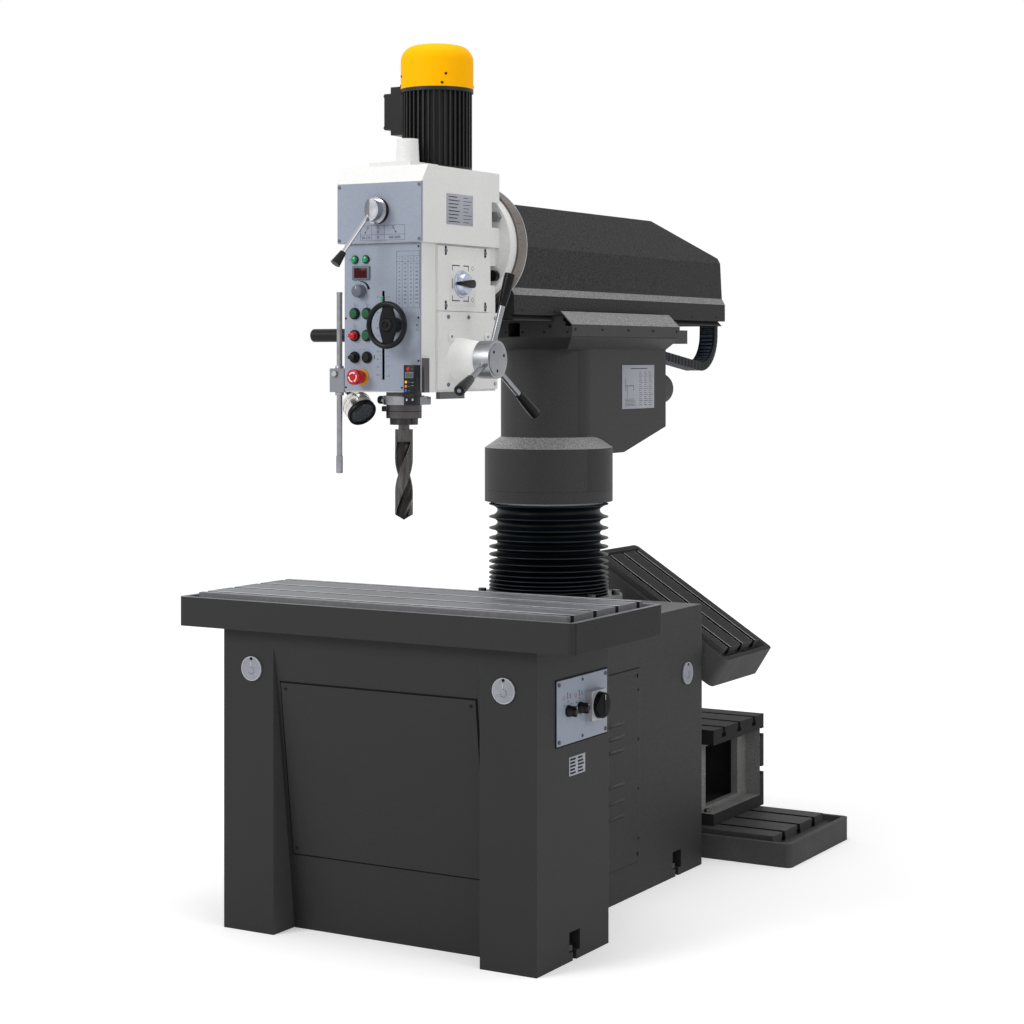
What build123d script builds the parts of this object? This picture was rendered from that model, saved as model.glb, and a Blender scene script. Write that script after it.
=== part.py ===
from build123d import *
import os
from math import acos, cos, pi, radians, sin, sqrt, tan

os.makedirs("parts", exist_ok=True)

# Universal drilling machine, in millimetres. The origin lies on the column axis at floor level,
# the front of the machine faces -Y and +Z is up.

# Fits and small clearances
RUN_FIT = 0.05
SEAT_GAP = 0.3
SHEET = 3.0

# Base: front pedestal with two feet, and the rear box that holds the column
PEDESTAL_HALF = 480.0
PEDESTAL_FRONT = -916.0
PEDESTAL_REAR = -538.0
PEDESTAL_TOP = 802.0
FOOT_INNER = 317.0
RECESS_DEPTH = 94.0
RECESS_TOP = 760.0
REAR_HALF = 312.0
REAR_END = 381.0
REAR_TOP = 781.0
BASE_WALL = 20.0
BASE_ROOF = 25.0
FOOT_PLATE = 20.0
FOOT_PLATE_HALF_DEPTH = 170.0
POCKET_WIDTH = 56.0
POCKET_HEIGHT = 52.0
POCKET_DEPTH = 50.0
POCKET_SILL = 22.0
FRONT_POCKET_Y = -722.0
REAR_POCKET_Y = 212.0
ANCHOR_RADIUS = 9.0

# Tables: a tray rim, a channel inside it and a raised slab with T-slots
RIM_WIDTH = 16.0
CHANNEL_WIDTH = 24.0
CHANNEL_DEPTH = 20.0
SLAB_RISE = 10.0
SLOT_NECK = 18.0
SLOT_WIDE = 30.0
SLOT_WIDE_HEIGHT = 13.0
CORNER_RADIUS = 18.0
TABLE_HALF = 604.0
TABLE_FRONT = -956.0
TABLE_REAR = -467.0
TABLE_THICKNESS = 78.0
TABLE_SLOT_COUNT = 4
TABLE_SLOT_PITCH = 118.0

# Covers, panels and switches on the base
COVER_HALF = 299.0
COVER_LOW = 206.0
COVER_HIGH = 665.0
DOOR_FRONT = -480.0
DOOR_REAR = -33.0
DOOR_LOW = 95.0
DOOR_HIGH = 640.0
LIFT_COVER_RADIUS = 32.5
LIFT_COVER_THICK = 4.0
PEDESTAL_LIFT_X = 387.0
PEDESTAL_LIFT_Z = 697.0
REAR_LIFT_Y = 281.0
REAR_LIFT_Z = 586.0
PANEL_FRONT = -819.0
PANEL_REAR = -552.0
PANEL_LOW = 551.0
PANEL_HIGH = 714.0
SWITCH_SIZE = 76.0
SWITCH_HEIGHT = 22.0
SWITCH_Y = -636.0
SWITCH_Z = 634.0
SWITCH_KNOB_RADIUS = 33.0
SWITCH_KNOB_HEIGHT = 18.0
SMALL_KNOB_YS = (-762.0, -700.0)
SMALL_KNOB_RADIUS = 15.0
SMALL_KNOB_HEIGHT = 26.0
SCREW_RADIUS = 5.0
SCREW_HEAD = 3.0

# Column, its guide, its rack drive and the bellows
COLUMN_RADIUS = 125.0
COLUMN_BORE = 95.0
COLUMN_LOW = 160.0
COLUMN_TOP = 1490.0
SLEEVE_RADIUS = 150.0
SLEEVE_LOW = 300.0
FLANGE_RADIUS = 215.0
FLANGE_HEIGHT = 50.0
FLANGE_BOLT_CIRCLE = 196.0
FLANGE_BOLT_COUNT = 8
LIFT_MODULE = 4.0
LIFT_TEETH = 14
LIFT_RACK_INSET = 10.0
LIFT_Z = 700.0
LIFT_TRAVEL = 420.0
LIFT_PINION_WIDTH = 36.0
LIFT_SHAFT_RADIUS = 12.0
LIFT_BOSS_HALF = 70.0
LIFT_BOSS_FRONT = 60.0
LIFT_BOSS_RISE = 38.0
LIFT_BOSS_WALL = 20.0
LIFT_MOTOR_LENGTH = 92.0
LIFT_MOTOR_SIZE = 90.0
LIFT_MOTOR_STEP = 4.0
LIFT_MOTOR_CAN = 150.0
LIFT_SHAFT_INSERT = 30.0
BEARING_HEIGHT = 20.0
COLLAR_RADIUS = 187.0
COLLAR_LOW = 1103.0
COLLAR_RING = 33.0
BELLOWS_OUTER = 174.0
BELLOWS_INNER = 150.0
BELLOWS_WALL = 4.0
BELLOWS_PLEATS = 14
BELLOWS_STRETCH = 5.0

# Saddle: collar, shoulder, body behind the column and the bed of the ram slide
SADDLE_COLLAR_TOP = 1259.0
SHOULDER_TOP = 1291.0
SADDLE_HALF = 140.0
SADDLE_REAR = 488.0
SADDLE_LOW_REAR = 1308.0
SADDLE_LOW_FRONT = 1239.0
SADDLE_SLOPE_START = 208.0
SADDLE_WALL = 22.0
FLARE_LOW = 1544.0
BED_LOW = 1577.0
BED_SHOULDER = 1609.0
BED_TOP = 1622.0
BED_HALF = 185.0
WAY_HALF = 165.0
BED_FRONT = -201.0
RAIL_OUTER = 158.0
PORT_HALF = 19.0
PORT_DEPTH = 70.0
GUARD_LIP_LOW = 1582.0
GUARD_LIP_TOP = 1614.0
GUARD_TOP = 1651.0
GUARD_INNER = 151.0
CLAMP_X = 90.0
CLAMP_Z = 1424.0
CLAMP_RADIUS = 48.0
CLAMP_LENGTH = 70.0
STOP_BLOCK_LEFT = 60.0
STOP_BLOCK_RIGHT = 160.0
STOP_BLOCK_LENGTH = 112.0
STOP_BLOCK_LOW = 1563.0
STOP_BLOCK_HIGH = 1605.0
CHAIN_X = 99.0
CHAIN_WIDTH = 54.0
CHAIN_THICK = 28.0
CHAIN_EXIT_Z = 1529.0
CHAIN_LEAN = 7.4
CHAIN_BEND = 105.0
CHAIN_END_Y = 886.0

# Ram: dovetail beam, sheet hood over it, swivel ring in front
RAM_FRONT = -425.0
RAM_REAR = 945.0
BEAM_SETBACK = 24.0
DOVETAIL_LOW_HALF = 130.0
DOVETAIL_TOP_HALF = 116.0
DOVETAIL_HEIGHT = 15.0
SLIDE_PLAY = 0.1
HOOD_GAP = 1.0
HOOD_FLANGE = 12.0
SKIRT_HEIGHT = 54.0
SKIRT_HALF = 130.0
SIDE_LOW = 1712.0
SIDE_LOW_HALF = 119.0
SIDE_TOP = 1827.0
SIDE_TOP_HALF = 113.0
ROOF_TOP = 1949.0
ROOF_HALF = 45.0
ROOF_BREAK_Y = 576.0
ROOF_REAR_TOP = 1844.0
HOOD_SHEET = 5.0
SPINE_HALF = 80.0
SPINE_TOP = 1760.0
SPINE_WALL = 18.0
FRONT_PLATE = 30.0
SWIVEL_Z = 1824.0
SWIVEL_RADIUS = 172.0
SWIVEL_THICK = 45.0
SPIGOT_RADIUS = 60.0
SPIGOT_LENGTH = 30.0
CLAMP_GROOVE_RADIUS = 144.0
CLAMP_GROOVE_HALF = 9.0
CLAMP_GROOVE_DEPTH = 14.0

# Head: lower casting with the quill bore, gearbox housing above, round flange behind
REACH = 774.0
HEAD_HALF = 118.0
HEAD_NOSE = 98.0
HEAD_REAR = -505.0
HEAD_LOW = 1431.0
HEAD_SPLIT = 1815.0
GEARBOX_HEIGHT = 199.0
HEAD_TOP = HEAD_SPLIT + GEARBOX_HEIGHT
HEAD_FLANGE_RADIUS = 165.0
GEARBOX_HALF = 131.0
GEARBOX_NOSE = 112.0
GEARBOX_WALL = 20.0
BACK_WALL = 40.0
FRONT_PANEL = 6.0
BROW_HEIGHT = 45.0
BROW_LOW = HEAD_TOP - BROW_HEIGHT
BROW_DEPTH = 31.0
CORE_HALF = 95.0
CORE_BEHIND_SPINDLE = 124.0
CORE_LOW = 1456.0
SWITCH_BAY_LEFT = -112.0
SWITCH_BAY_RIGHT = -14.0
SWITCH_BAY_DEPTH = 38.0
CLAMP_POCKET_LOW = 1868.0
CLAMP_POCKET_HIGH = 1936.0
CLAMP_POCKET_DEPTH = 30.0
CLAMP_BOLT_ANGLE = 31.0
LOCK_KNOB_ANGLE = -35.5
LOCK_KNOB_RADIUS = 15.0
LOCK_KNOB_LENGTH = 16.0
SIDE_PLATE = 7.0
FEED_PLATE_LEAD = 32.0
FEED_UPPER_SETBACK = 37.0
FEED_PLATE_LOW = 1436.0
FEED_PLATE_SPLIT = 1640.0
FEED_PLATE_TOP = 1810.0
BOSS_LENGTH = 70.0
BOSS_BASE_RADIUS = 58.0
BOSS_TIP_RADIUS = 46.0

# Quill feed: rack on the quill, pinion on the pilot wheel's shaft
QUILL_RADIUS = 46.5
QUILL_LOW = 1362.0
QUILL_TOP = 1790.0
QUILL_TRAVEL = 150.0
FEED_MODULE = 3.0
FEED_TEETH = 20
FEED_RACK_INSET = 3.5
FEED_Z = 1515.0
FEED_PINION_WIDTH = 40.0
FEED_SHAFT_RADIUS = 15.0
HUB_RADIUS = 49.5
HUB_LENGTH = 46.0
LEVER_RADIUS = 8.0
LEVER_REACH = 230.0
LEVER_LEAN = 10.0
LEVER_FIRST_ANGLE = 80.0
GRIP_LENGTH = 84.0
GRIP_RADIUS = 14.0
CLAMP_RING_LOW = 1397.0
CLAMP_RING_HIGH = 1421.0
CLAMP_RING_RADIUS = 54.0
CLAMP_STUD_RADIUS = 9.0
CLAMP_STUD_REACH = 77.0

# Spindle, drill and the geared drive above them
SPINDLE_RADIUS = 30.0
NOSE_RADIUS = 37.0
NOSE_LOW = 1345.0
SPLINE_RADIUS = 12.0
SPLINE_RISE = 54.0
SPLINE_TOP = HEAD_TOP + SPLINE_RISE
SHANK_RADIUS = 14.5
SOCKET_DEPTH = 60.0
DRILL_TOP = 1333.0
DRILL_TIP = 1096.0
DRILL_RADIUS = 23.5
DRILL_PLAIN = 32.0
DRILL_WEB = 8.0
DRILL_TURNS = 0.6
GEAR_MODULE = 2.5
MOTOR_TEETH = 20
WHEEL_TEETH = 45
LAY_TEETH = 25
SPINDLE_TEETH = 40
GEAR_FACE = 32.0
GEAR_ROOF_GAP = 34.0
GEAR_STEP = 18.0
HIGH_GEAR_Z = HEAD_TOP - GEARBOX_WALL - GEAR_ROOF_GAP - GEAR_FACE
LOW_GEAR_Z = HIGH_GEAR_Z - GEAR_STEP - GEAR_FACE
GEAR_BACKLASH = 0.5
SLEEVE_GEAR_RADIUS = 30.0
SLEEVE_GEAR_RISE = 12.0
SLEEVE_GEAR_TOP = LOW_GEAR_Z + GEAR_FACE + SLEEVE_GEAR_RISE
LAYSHAFT_RADIUS = 10.0

# Motor on top of the gearbox, and the cap over the spindle
MOTOR_FLANGE_RADIUS = 94.0
MOTOR_FLANGE = 12.0
MOTOR_CORE_RADIUS = 84.0
MOTOR_FIN_RADIUS = 94.0
MOTOR_FINS = 40
FIN_THICK = 4.0
MOTOR_HEIGHT = 223.0
MOTOR_TOP = HEAD_TOP + MOTOR_HEIGHT
END_SHIELD = 10.0
MOTOR_BORE = 70.0
MOTOR_SHAFT_RADIUS = 12.0
FAN_COVER_RADIUS = 97.5
FAN_COVER_HEIGHT = 117.0
FAN_COVER_TOP = MOTOR_TOP + FAN_COVER_HEIGHT
FAN_COVER_ROUND = 42.0
FAN_RADIUS = 78.0
TERMINAL_LEFT = -114.5
TERMINAL_LID = 26.0
TERMINAL_HALF = 52.0
TERMINAL_RISE = 103.0
TERMINAL_HEIGHT = 129.0
TERMINAL_LOW = HEAD_TOP + TERMINAL_RISE
TERMINAL_HIGH = TERMINAL_LOW + TERMINAL_HEIGHT
CAP_PLATE_HALF = 64.0
CAP_PLATE_LEAD = 74.0
CAP_PLATE_LENGTH = 132.0
CAP_PLATE = 12.0
CAP_RADIUS = 31.0
CAP_TOP_RADIUS = 28.0
CAP_HEIGHT = 66.0
CAP_TOP = HEAD_TOP + CAP_PLATE + CAP_HEIGHT
CAP_X = 5.0
CAP_BEHIND_SPINDLE = 10.0
CAP_WALL = 7.0

# Controls on the front panels
SLOT_X = 5.0
SLOT_HALF = 3.5
SLOT_LOW = 1463.0
SLOT_HIGH = 1692.0
POINTER_Z = 1672.0
LAMP_XS = (-83.0, -49.0)
LAMP_Z = 1774.0
LAMP_RADIUS = 11.0
DISPLAY_LEFT = -90.0
DISPLAY_RIGHT = -36.0
DISPLAY_LOW = 1721.0
DISPLAY_HIGH = 1757.0
SPEED_KNOB_X = -65.0
SPEED_KNOB_Z = 1692.0
SPEED_KNOB_RADIUS = 17.0
BUTTON_LEFT_X = -83.0
BUTTON_RIGHT_X = -45.0
BUTTON_ROW_HIGH = 1634.0
BUTTON_ROW_MIDDLE = 1577.0
BUTTON_ROW_LOW = 1521.0
BUTTON_RADIUS = 11.5
BEZEL_RADIUS = 15.0
BEZEL_HEIGHT = 7.0
BUTTON_TRAVEL = 4.0
STOP_X = -62.0
STOP_Z = 1470.0
STOP_RADIUS = 20.0
STOP_COLLAR_RADIUS = 24.0
STOP_TRAVEL = 5.0
FINE_WHEEL_X = 48.0
FINE_WHEEL_Z = 1603.0
FINE_WHEEL_RADIUS = 54.0
FINE_RIM_RADIUS = 7.0
FINE_RIM_STAND = 50.0
FINE_SHAFT_RADIUS = 9.0
SPEED_LEVER_X = -3.0
SPEED_LEVER_Z = 1897.0
SPEED_LEVER_BASE = 34.0
SPEED_LEVER_BASE_HEIGHT = 13.0
SPEED_LEVER_HUB = 30.0
SPEED_LEVER_ROD = 5.3
SPEED_LEVER_START = (-9.0, -28.0, -11.0)
SPEED_LEVER_END = (-49.0, -103.0, -124.0)
SPEED_LEVER_GRIP = 38.0
FEED_KNOB_SETBACK = 83.0
FEED_KNOB_Z = 1713.0
FEED_KNOB_RADIUS = 36.0
FEED_KNOB_TIP = 27.0
FEED_KNOB_HEIGHT = 20.0
FEED_POINTER_REACH = 52.0
FEED_POINTER_TAIL = 24.0
FEED_POINTER_HALF = 11.0
FEED_POINTER_HEIGHT = 12.0

# Small pieces around the head
GUARD_ROD_X = -146.0
GUARD_ROD_SETBACK = 14.0
GUARD_ROD_RADIUS = 7.5
GUARD_ROD_LOW = 1218.0
GUARD_ROD_HIGH = 1691.0
ROD_CLAMP_LOW = 1430.0
ROD_CLAMP_HIGH = 1492.0
HANDLE_SETBACK = 72.0
HANDLE_Z = 1579.0
HANDLE_RADIUS = 17.5
HANDLE_END_X = -272.0
BEAM_DEPTH = 24.0
BEAM_LOW = 1431.0
BEAM_HIGH = 1519.0
READER_LEFT = 85.0
READER_RIGHT = 119.0
READER_LOW = 1399.0
READER_HIGH = 1501.0
READER_DEPTH = 24.0
READER_ARM_LEFT = 36.0
READER_ARM_RIGHT = 100.0
READER_ARM_LEAD = 26.0
LAMP_PIVOT_X = -180.0
LAMP_PIVOT_SETBACK = 3.0
LAMP_PIVOT_Z = 1431.0
LAMP_AIM = (0.72, -0.32, -0.61)
LAMP_BODY_RADIUS = 39.0
LAMP_LENGTH = 60.0
LAMP_NECK = 27.0
LAMP_BALL = 9.0
UNDER_PLATE = 18.0
UNDER_PLATE_LEAD = 11.0
UNDER_PLATE_LEFT = 106.0
UNDER_PLATE_LENGTH = 122.0

# Tables behind the base
TILT_DEGREES = 32.3
TILT_PIVOT_Z = 554.0
TILT_HEIGHT = 243.0
TILT_HALF = 284.0
TILT_FRONT = 434.0
TILT_REAR = 780.0
TILT_THICKNESS = 98.0
TILT_SLOT_COUNT = 3
TILT_SLOT_PITCH = 92.0
TILT_ROOF = 46.0
TILT_WALL = 16.0
BRACKET_THICK = 28.0
BRACKET_HALF = 300.0
BRACKET_LOW = 440.0
BRACKET_HIGH = 720.0
LUG_THICK = 40.0
LUG_RADIUS = 95.0
PIVOT_RADIUS = 26.0
FLOOR_HALF = 565.0
FLOOR_FRONT = 461.0
FLOOR_REAR = 931.0
FLOOR_THICKNESS = 71.0
FLOOR_SLOT_COUNT = 3
FLOOR_SLOT_PITCH = 117.0
FLOOR_END_CHANNEL = 56.0
BOX_HALF = 278.0
BOX_FRONT = 540.0
BOX_REAR = 920.0
BOX_TOP = 374.0
BOX_SLAB = 46.0
BOX_REAR_SLAB = 32.0
BOX_FLANGE = 36.0
BOX_WALL = 45.0
BOX_END_INSET = 50.0
BOX_SLOT_COUNT = 3
BOX_SLOT_PITCH = 114.0
BOX_UPPER_SLOT = 55.0
BOX_LOWER_SLOT = 116.0
WINDOW_MARGIN = 48.0

# Places that follow from the sizes above
SPINDLE_Y = -REACH
HEAD_FRONT = SPINDLE_Y - HEAD_NOSE
GEARBOX_FRONT = SPINDLE_Y - GEARBOX_NOSE
CORE_FRONT = SPINDLE_Y + CORE_BEHIND_SPINDLE
FEED_PLATE_FRONT = SPINDLE_Y - FEED_PLATE_LEAD
FEED_UPPER_REAR = HEAD_REAR - FEED_UPPER_SETBACK
CAP_PLATE_FRONT = SPINDLE_Y - CAP_PLATE_LEAD
CAP_PLATE_REAR = CAP_PLATE_FRONT + CAP_PLATE_LENGTH
FEED_KNOB_Y = SPINDLE_Y + FEED_KNOB_SETBACK
GUARD_ROD_Y = HEAD_FRONT + GUARD_ROD_SETBACK
HANDLE_Y = HEAD_FRONT + HANDLE_SETBACK
READER_ARM_REAR = SPINDLE_Y - READER_ARM_LEAD
LAMP_PIVOT = (LAMP_PIVOT_X, SPINDLE_Y + LAMP_PIVOT_SETBACK, LAMP_PIVOT_Z)
UNDER_PLATE_FRONT = SPINDLE_Y - UNDER_PLATE_LEAD
UNDER_PLATE_REAR = UNDER_PLATE_FRONT + UNDER_PLATE_LENGTH
PANEL_FACE = HEAD_FRONT - FRONT_PANEL
FINE_RIM_Y = PANEL_FACE - FINE_RIM_STAND
GEARBOX_FACE = GEARBOX_FRONT - FRONT_PANEL
SWIVEL_FACE = RAM_FRONT - SWIVEL_THICK
GUIDE_TOP = REAR_TOP + FLANGE_HEIGHT
SADDLE_LOW = COLLAR_LOW + COLLAR_RING + SEAT_GAP
SADDLE_CEILING = COLUMN_TOP + BEARING_HEIGHT + RUN_FIT
SLIDE_LOW = BED_TOP + RUN_FIT
RAIL_TOP = BED_TOP + DOVETAIL_HEIGHT
SKIRT_LOW = RAIL_TOP + HOOD_GAP
SKIRT_TOP = SKIRT_LOW + SKIRT_HEIGHT
CHAIN_TOP = SLIDE_LOW - SEAT_GAP
LAY_Y = SPINDLE_Y + (SPINDLE_TEETH + LAY_TEETH) * GEAR_MODULE / 2
MOTOR_Y = LAY_Y + (WHEEL_TEETH + MOTOR_TEETH) * GEAR_MODULE / 2
FEED_RACK_LINE = QUILL_RADIUS - FEED_RACK_INSET
FEED_Y = SPINDLE_Y + FEED_RACK_LINE + FEED_TEETH * FEED_MODULE / 2
LIFT_RACK_LINE = COLUMN_RADIUS - LIFT_RACK_INSET
LIFT_Y = LIFT_RACK_LINE + LIFT_TEETH * LIFT_MODULE / 2
SIDE_FACE = HEAD_HALF + SIDE_PLATE
HUB_START = SIDE_FACE + BOSS_LENGTH + SEAT_GAP
GEARBOX_FLOOR = HEAD_SPLIT + GEARBOX_WALL
GEARBOX_ROOF = HEAD_TOP - GEARBOX_WALL
PANEL_X = PEDESTAL_HALF + SHEET
BRACKET_FACE = REAR_END + BRACKET_THICK
LUG_BACK = BRACKET_FACE + SEAT_GAP + LUG_THICK


def block(x0, x1, y0, y1, z0, z1):
    """Box between two corners."""
    return Pos((x0 + x1) / 2, (y0 + y1) / 2, (z0 + z1) / 2) * Box(x1 - x0, y1 - y0, z1 - z0)


def post(radius, x, y, z0, z1):
    """Upright cylinder."""
    return Pos(x, y, (z0 + z1) / 2) * Cylinder(radius, z1 - z0)


def rod_x(radius, x0, x1, y, z):
    """Cylinder along X."""
    return Pos((x0 + x1) / 2, y, z) * Rot(0, 90, 0) * Cylinder(radius, x1 - x0)


def rod_y(radius, x, y0, y1, z):
    """Cylinder along Y."""
    return Pos(x, (y0 + y1) / 2, z) * Rot(90, 0, 0) * Cylinder(radius, y1 - y0)


def prism_x(points, x0, x1):
    """Outline of (y, z) points, carried along X."""
    face = Plane.YZ * Polygon(*points)
    return Pos(x0, 0, 0) * extrude(face, x1 - x0, dir=(1, 0, 0))


def prism_y(points, y0, y1):
    """Outline of (x, z) points, carried along Y."""
    face = Plane.XZ * Polygon(*points)
    return Pos(0, y0, 0) * extrude(face, y1 - y0, dir=(0, 1, 0))


def turned(points, x=0.0, y=0.0):
    """Outline of (radius, z) points, turned round an upright axis."""
    face = Plane.XZ * Polygon(*points)
    return Pos(x, y, 0) * revolve(face, Axis.Z)


def both_sides(half):
    """Close a half outline with its mirror image."""
    return half + [(-x, z) for x, z in reversed(half)]


def hexagon(radius, height):
    """Six-sided nut or bolt head, standing on its face."""
    return extrude(RegularPolygon(radius, 6), height)


def mirrored(shape):
    """The same shape on the other side of the machine."""
    return mirror(shape, Plane.YZ)


def save(name, *pieces):
    """Write one node: one solid, or a group of separate solids."""
    solids = [solid for piece in pieces for solid in piece.solids()]
    shape = solids[0] if len(solids) == 1 else Compound(children=solids)
    export_step(shape, f"parts/{name}.step")


def gear_face(teeth, module, first_tooth):
    """Outline of a spur gear with 20 degree involute flanks and one tooth at the given angle."""
    pitch = teeth * module / 2
    base = pitch * cos(radians(20))
    half_pitch = (pi * module / 2 - GEAR_BACKLASH) / 2 / pitch
    involute_pitch = tan(radians(20)) - radians(20)

    def half_angle(radius):
        pressure = acos(min(1.0, base / radius))
        return half_pitch + involute_pitch - (tan(pressure) - pressure)

    root = pitch - 1.25 * module
    flank = [max(base, root + 0.01), pitch, pitch + 0.5 * module, pitch + module]
    side = [(root, half_angle(flank[0]))] + [(radius, half_angle(radius)) for radius in flank]
    points = []
    for tooth in range(teeth):
        middle = radians(first_tooth) + 2 * pi * tooth / teeth
        points += [(r * cos(middle - a), r * sin(middle - a)) for r, a in side]
        points += [(r * cos(middle + a), r * sin(middle + a)) for r, a in reversed(side)]
    return Polygon(*points)


def spur_gear(teeth, module, first_tooth, x, y, z0, height):
    """Spur gear on an upright axis."""
    return Pos(x, y, z0) * extrude(gear_face(teeth, module, first_tooth), height)


def rack_bar(line, back, module, space_z, low, high, half_width):
    """Rack along Z with its teeth towards +Y, and a tooth space at space_z."""
    pitch = pi * module
    tip_half = pitch / 4 - GEAR_BACKLASH / 2 - module * tan(radians(20))
    root_half = pitch / 4 - GEAR_BACKLASH / 2 + 1.25 * module * tan(radians(20))
    root = line - 1.25 * module
    first = int((low - space_z) / pitch)
    last = int((high - space_z) / pitch)
    points = [(back, low), (root, low)]
    for tooth in range(first, last):
        middle = space_z + (tooth + 0.5) * pitch
        points += [(root, middle - root_half), (line + module, middle - tip_half)]
        points += [(line + module, middle + tip_half), (root, middle + root_half)]
    points += [(root, high), (back, high)]
    return prism_x(points, -half_width, half_width)


def t_slots(half, middle, pitch, count, top, depth):
    """Cutters for T-slots along X, set evenly about one line."""
    cutters = []
    for index in range(count):
        y = middle + (index - (count - 1) / 2) * pitch
        low = top - depth
        cutters.append(block(-half, half, y - SLOT_NECK / 2, y + SLOT_NECK / 2, low, top + 1))
        cutters.append(block(-half, half, y - SLOT_WIDE / 2, y + SLOT_WIDE / 2, low, low + SLOT_WIDE_HEIGHT))
    return cutters


def tray_table(half, y0, y1, rim_top, thickness, count, pitch, end_channel=CHANNEL_WIDTH):
    """Table casting: rim, coolant channel and a raised slab with T-slots."""
    body = block(-half, half, y0, y1, rim_top - thickness, rim_top)
    body = fillet(body.edges().filter_by(Axis.Z), CORNER_RADIUS)
    floor = rim_top - CHANNEL_DEPTH
    inner = half - RIM_WIDTH
    body -= block(-inner, inner, y0 + RIM_WIDTH, y1 - RIM_WIDTH, floor, rim_top + 1)
    border = RIM_WIDTH + CHANNEL_WIDTH
    top = rim_top + SLAB_RISE
    end = half - RIM_WIDTH - end_channel
    body += block(-end, end, y0 + border, y1 - border, floor, top)
    for cutter in t_slots(inner, (y0 + y1) / 2, pitch, count, top, top - floor):
        body -= cutter
    return body


# Base casting, hollow and open below, with a foot plate under the column
def recess_y(z):
    """Depth of the sloped knee recess at one height."""
    return PEDESTAL_FRONT + RECESS_DEPTH * (1 - z / RECESS_TOP)


def pocket_places():
    """Levelling pockets: side of the machine, outer face and place along Y."""
    for side in (-1, 1):
        yield side, PEDESTAL_HALF, FRONT_POCKET_Y
        yield side, REAR_HALF, REAR_POCKET_Y


def base_casting():
    body = block(-PEDESTAL_HALF, PEDESTAL_HALF, PEDESTAL_FRONT, PEDESTAL_REAR, 0, PEDESTAL_TOP)
    body += block(-REAR_HALF, REAR_HALF, PEDESTAL_REAR, REAR_END, 0, REAR_TOP)
    lead = PEDESTAL_FRONT - 5
    knee = recess_y(0)
    recess = [(PEDESTAL_FRONT, RECESS_TOP), (knee, 0), (knee, -5), (lead, -5), (lead, RECESS_TOP)]
    body -= prism_x(recess, -FOOT_INNER, FOOT_INNER)
    back = PEDESTAL_REAR - BASE_WALL
    roof = PEDESTAL_TOP - BASE_ROOF
    front_low = knee + BASE_WALL
    front_high = PEDESTAL_FRONT + BASE_WALL
    room = [(front_high, roof), (front_low, 0), (front_low, -5), (back, -5), (back, roof)]
    body -= prism_x(room, -PEDESTAL_HALF + BASE_WALL, PEDESTAL_HALF - BASE_WALL)
    inner = REAR_HALF - BASE_WALL
    body -= block(-inner, inner, back - 5, REAR_END - BASE_WALL, -5, REAR_TOP - BASE_ROOF)
    plate = FOOT_PLATE_HALF_DEPTH
    body += block(-REAR_HALF, REAR_HALF, -plate, plate, 0, FOOT_PLATE)
    body -= post(SLEEVE_RADIUS + SEAT_GAP, 0, 0, REAR_TOP - 2 * BASE_ROOF, REAR_TOP + 1)
    for side, face, y in pocket_places():
        inside = face - POCKET_DEPTH
        top = POCKET_SILL + POCKET_HEIGHT
        wall = block(inside - 12, face, y - POCKET_WIDTH, y + POCKET_WIDTH, 0, top + 12)
        hole = block(inside, face + 5, y - POCKET_WIDTH / 2, y + POCKET_WIDTH / 2, POCKET_SILL, top)
        slot = block(face - POCKET_DEPTH / 2 - ANCHOR_RADIUS - 1, face + 5, y - ANCHOR_RADIUS - SEAT_GAP,
                     y + ANCHOR_RADIUS + SEAT_GAP, -5, POCKET_SILL + 1)
        if side < 0:
            wall, hole, slot = mirrored(wall), mirrored(hole), mirrored(slot)
        body = body + wall - hole - slot
    return body


save("base_casting", base_casting())
TABLE_RIM = PEDESTAL_TOP + TABLE_THICKNESS
save("work_table", tray_table(TABLE_HALF, TABLE_FRONT, TABLE_REAR, TABLE_RIM, TABLE_THICKNESS,
                              TABLE_SLOT_COUNT, TABLE_SLOT_PITCH))


# Sheet covers on the base: the front cover follows the sloped recess
def front_cover():
    slope = sqrt(RECESS_TOP ** 2 + RECESS_DEPTH ** 2)
    out_y = -SHEET * RECESS_TOP / slope
    out_z = -SHEET * RECESS_DEPTH / slope
    low = (recess_y(COVER_LOW), COVER_LOW)
    high = (recess_y(COVER_HIGH), COVER_HIGH)
    points = [low, high, (high[0] + out_y, high[1] + out_z), (low[0] + out_y, low[1] + out_z)]
    return prism_x(points, -COVER_HALF, COVER_HALF)


save("access_covers", front_cover(),
     block(REAR_HALF, REAR_HALF + SHEET, DOOR_FRONT, DOOR_REAR, DOOR_LOW, DOOR_HIGH))


def lifting_covers():
    front = PEDESTAL_FRONT - LIFT_COVER_THICK
    for side in (-1, 1):
        yield rod_y(LIFT_COVER_RADIUS, side * PEDESTAL_LIFT_X, front, PEDESTAL_FRONT, PEDESTAL_LIFT_Z)
        disc = rod_x(LIFT_COVER_RADIUS, REAR_HALF, REAR_HALF + LIFT_COVER_THICK, REAR_LIFT_Y, REAR_LIFT_Z)
        yield disc if side > 0 else mirrored(disc)


save("lifting_covers", *lifting_covers())

# Switch panel on the right of the pedestal, with the main switch's housing
SWITCH_FACE = PANEL_X + SWITCH_HEIGHT
save("switch_panel",
     block(PEDESTAL_HALF, PANEL_X, PANEL_FRONT, PANEL_REAR, PANEL_LOW, PANEL_HIGH),
     block(PANEL_X, SWITCH_FACE, SWITCH_Y - SWITCH_SIZE / 2, SWITCH_Y + SWITCH_SIZE / 2,
           SWITCH_Z - SWITCH_SIZE / 2, SWITCH_Z + SWITCH_SIZE / 2))


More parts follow.
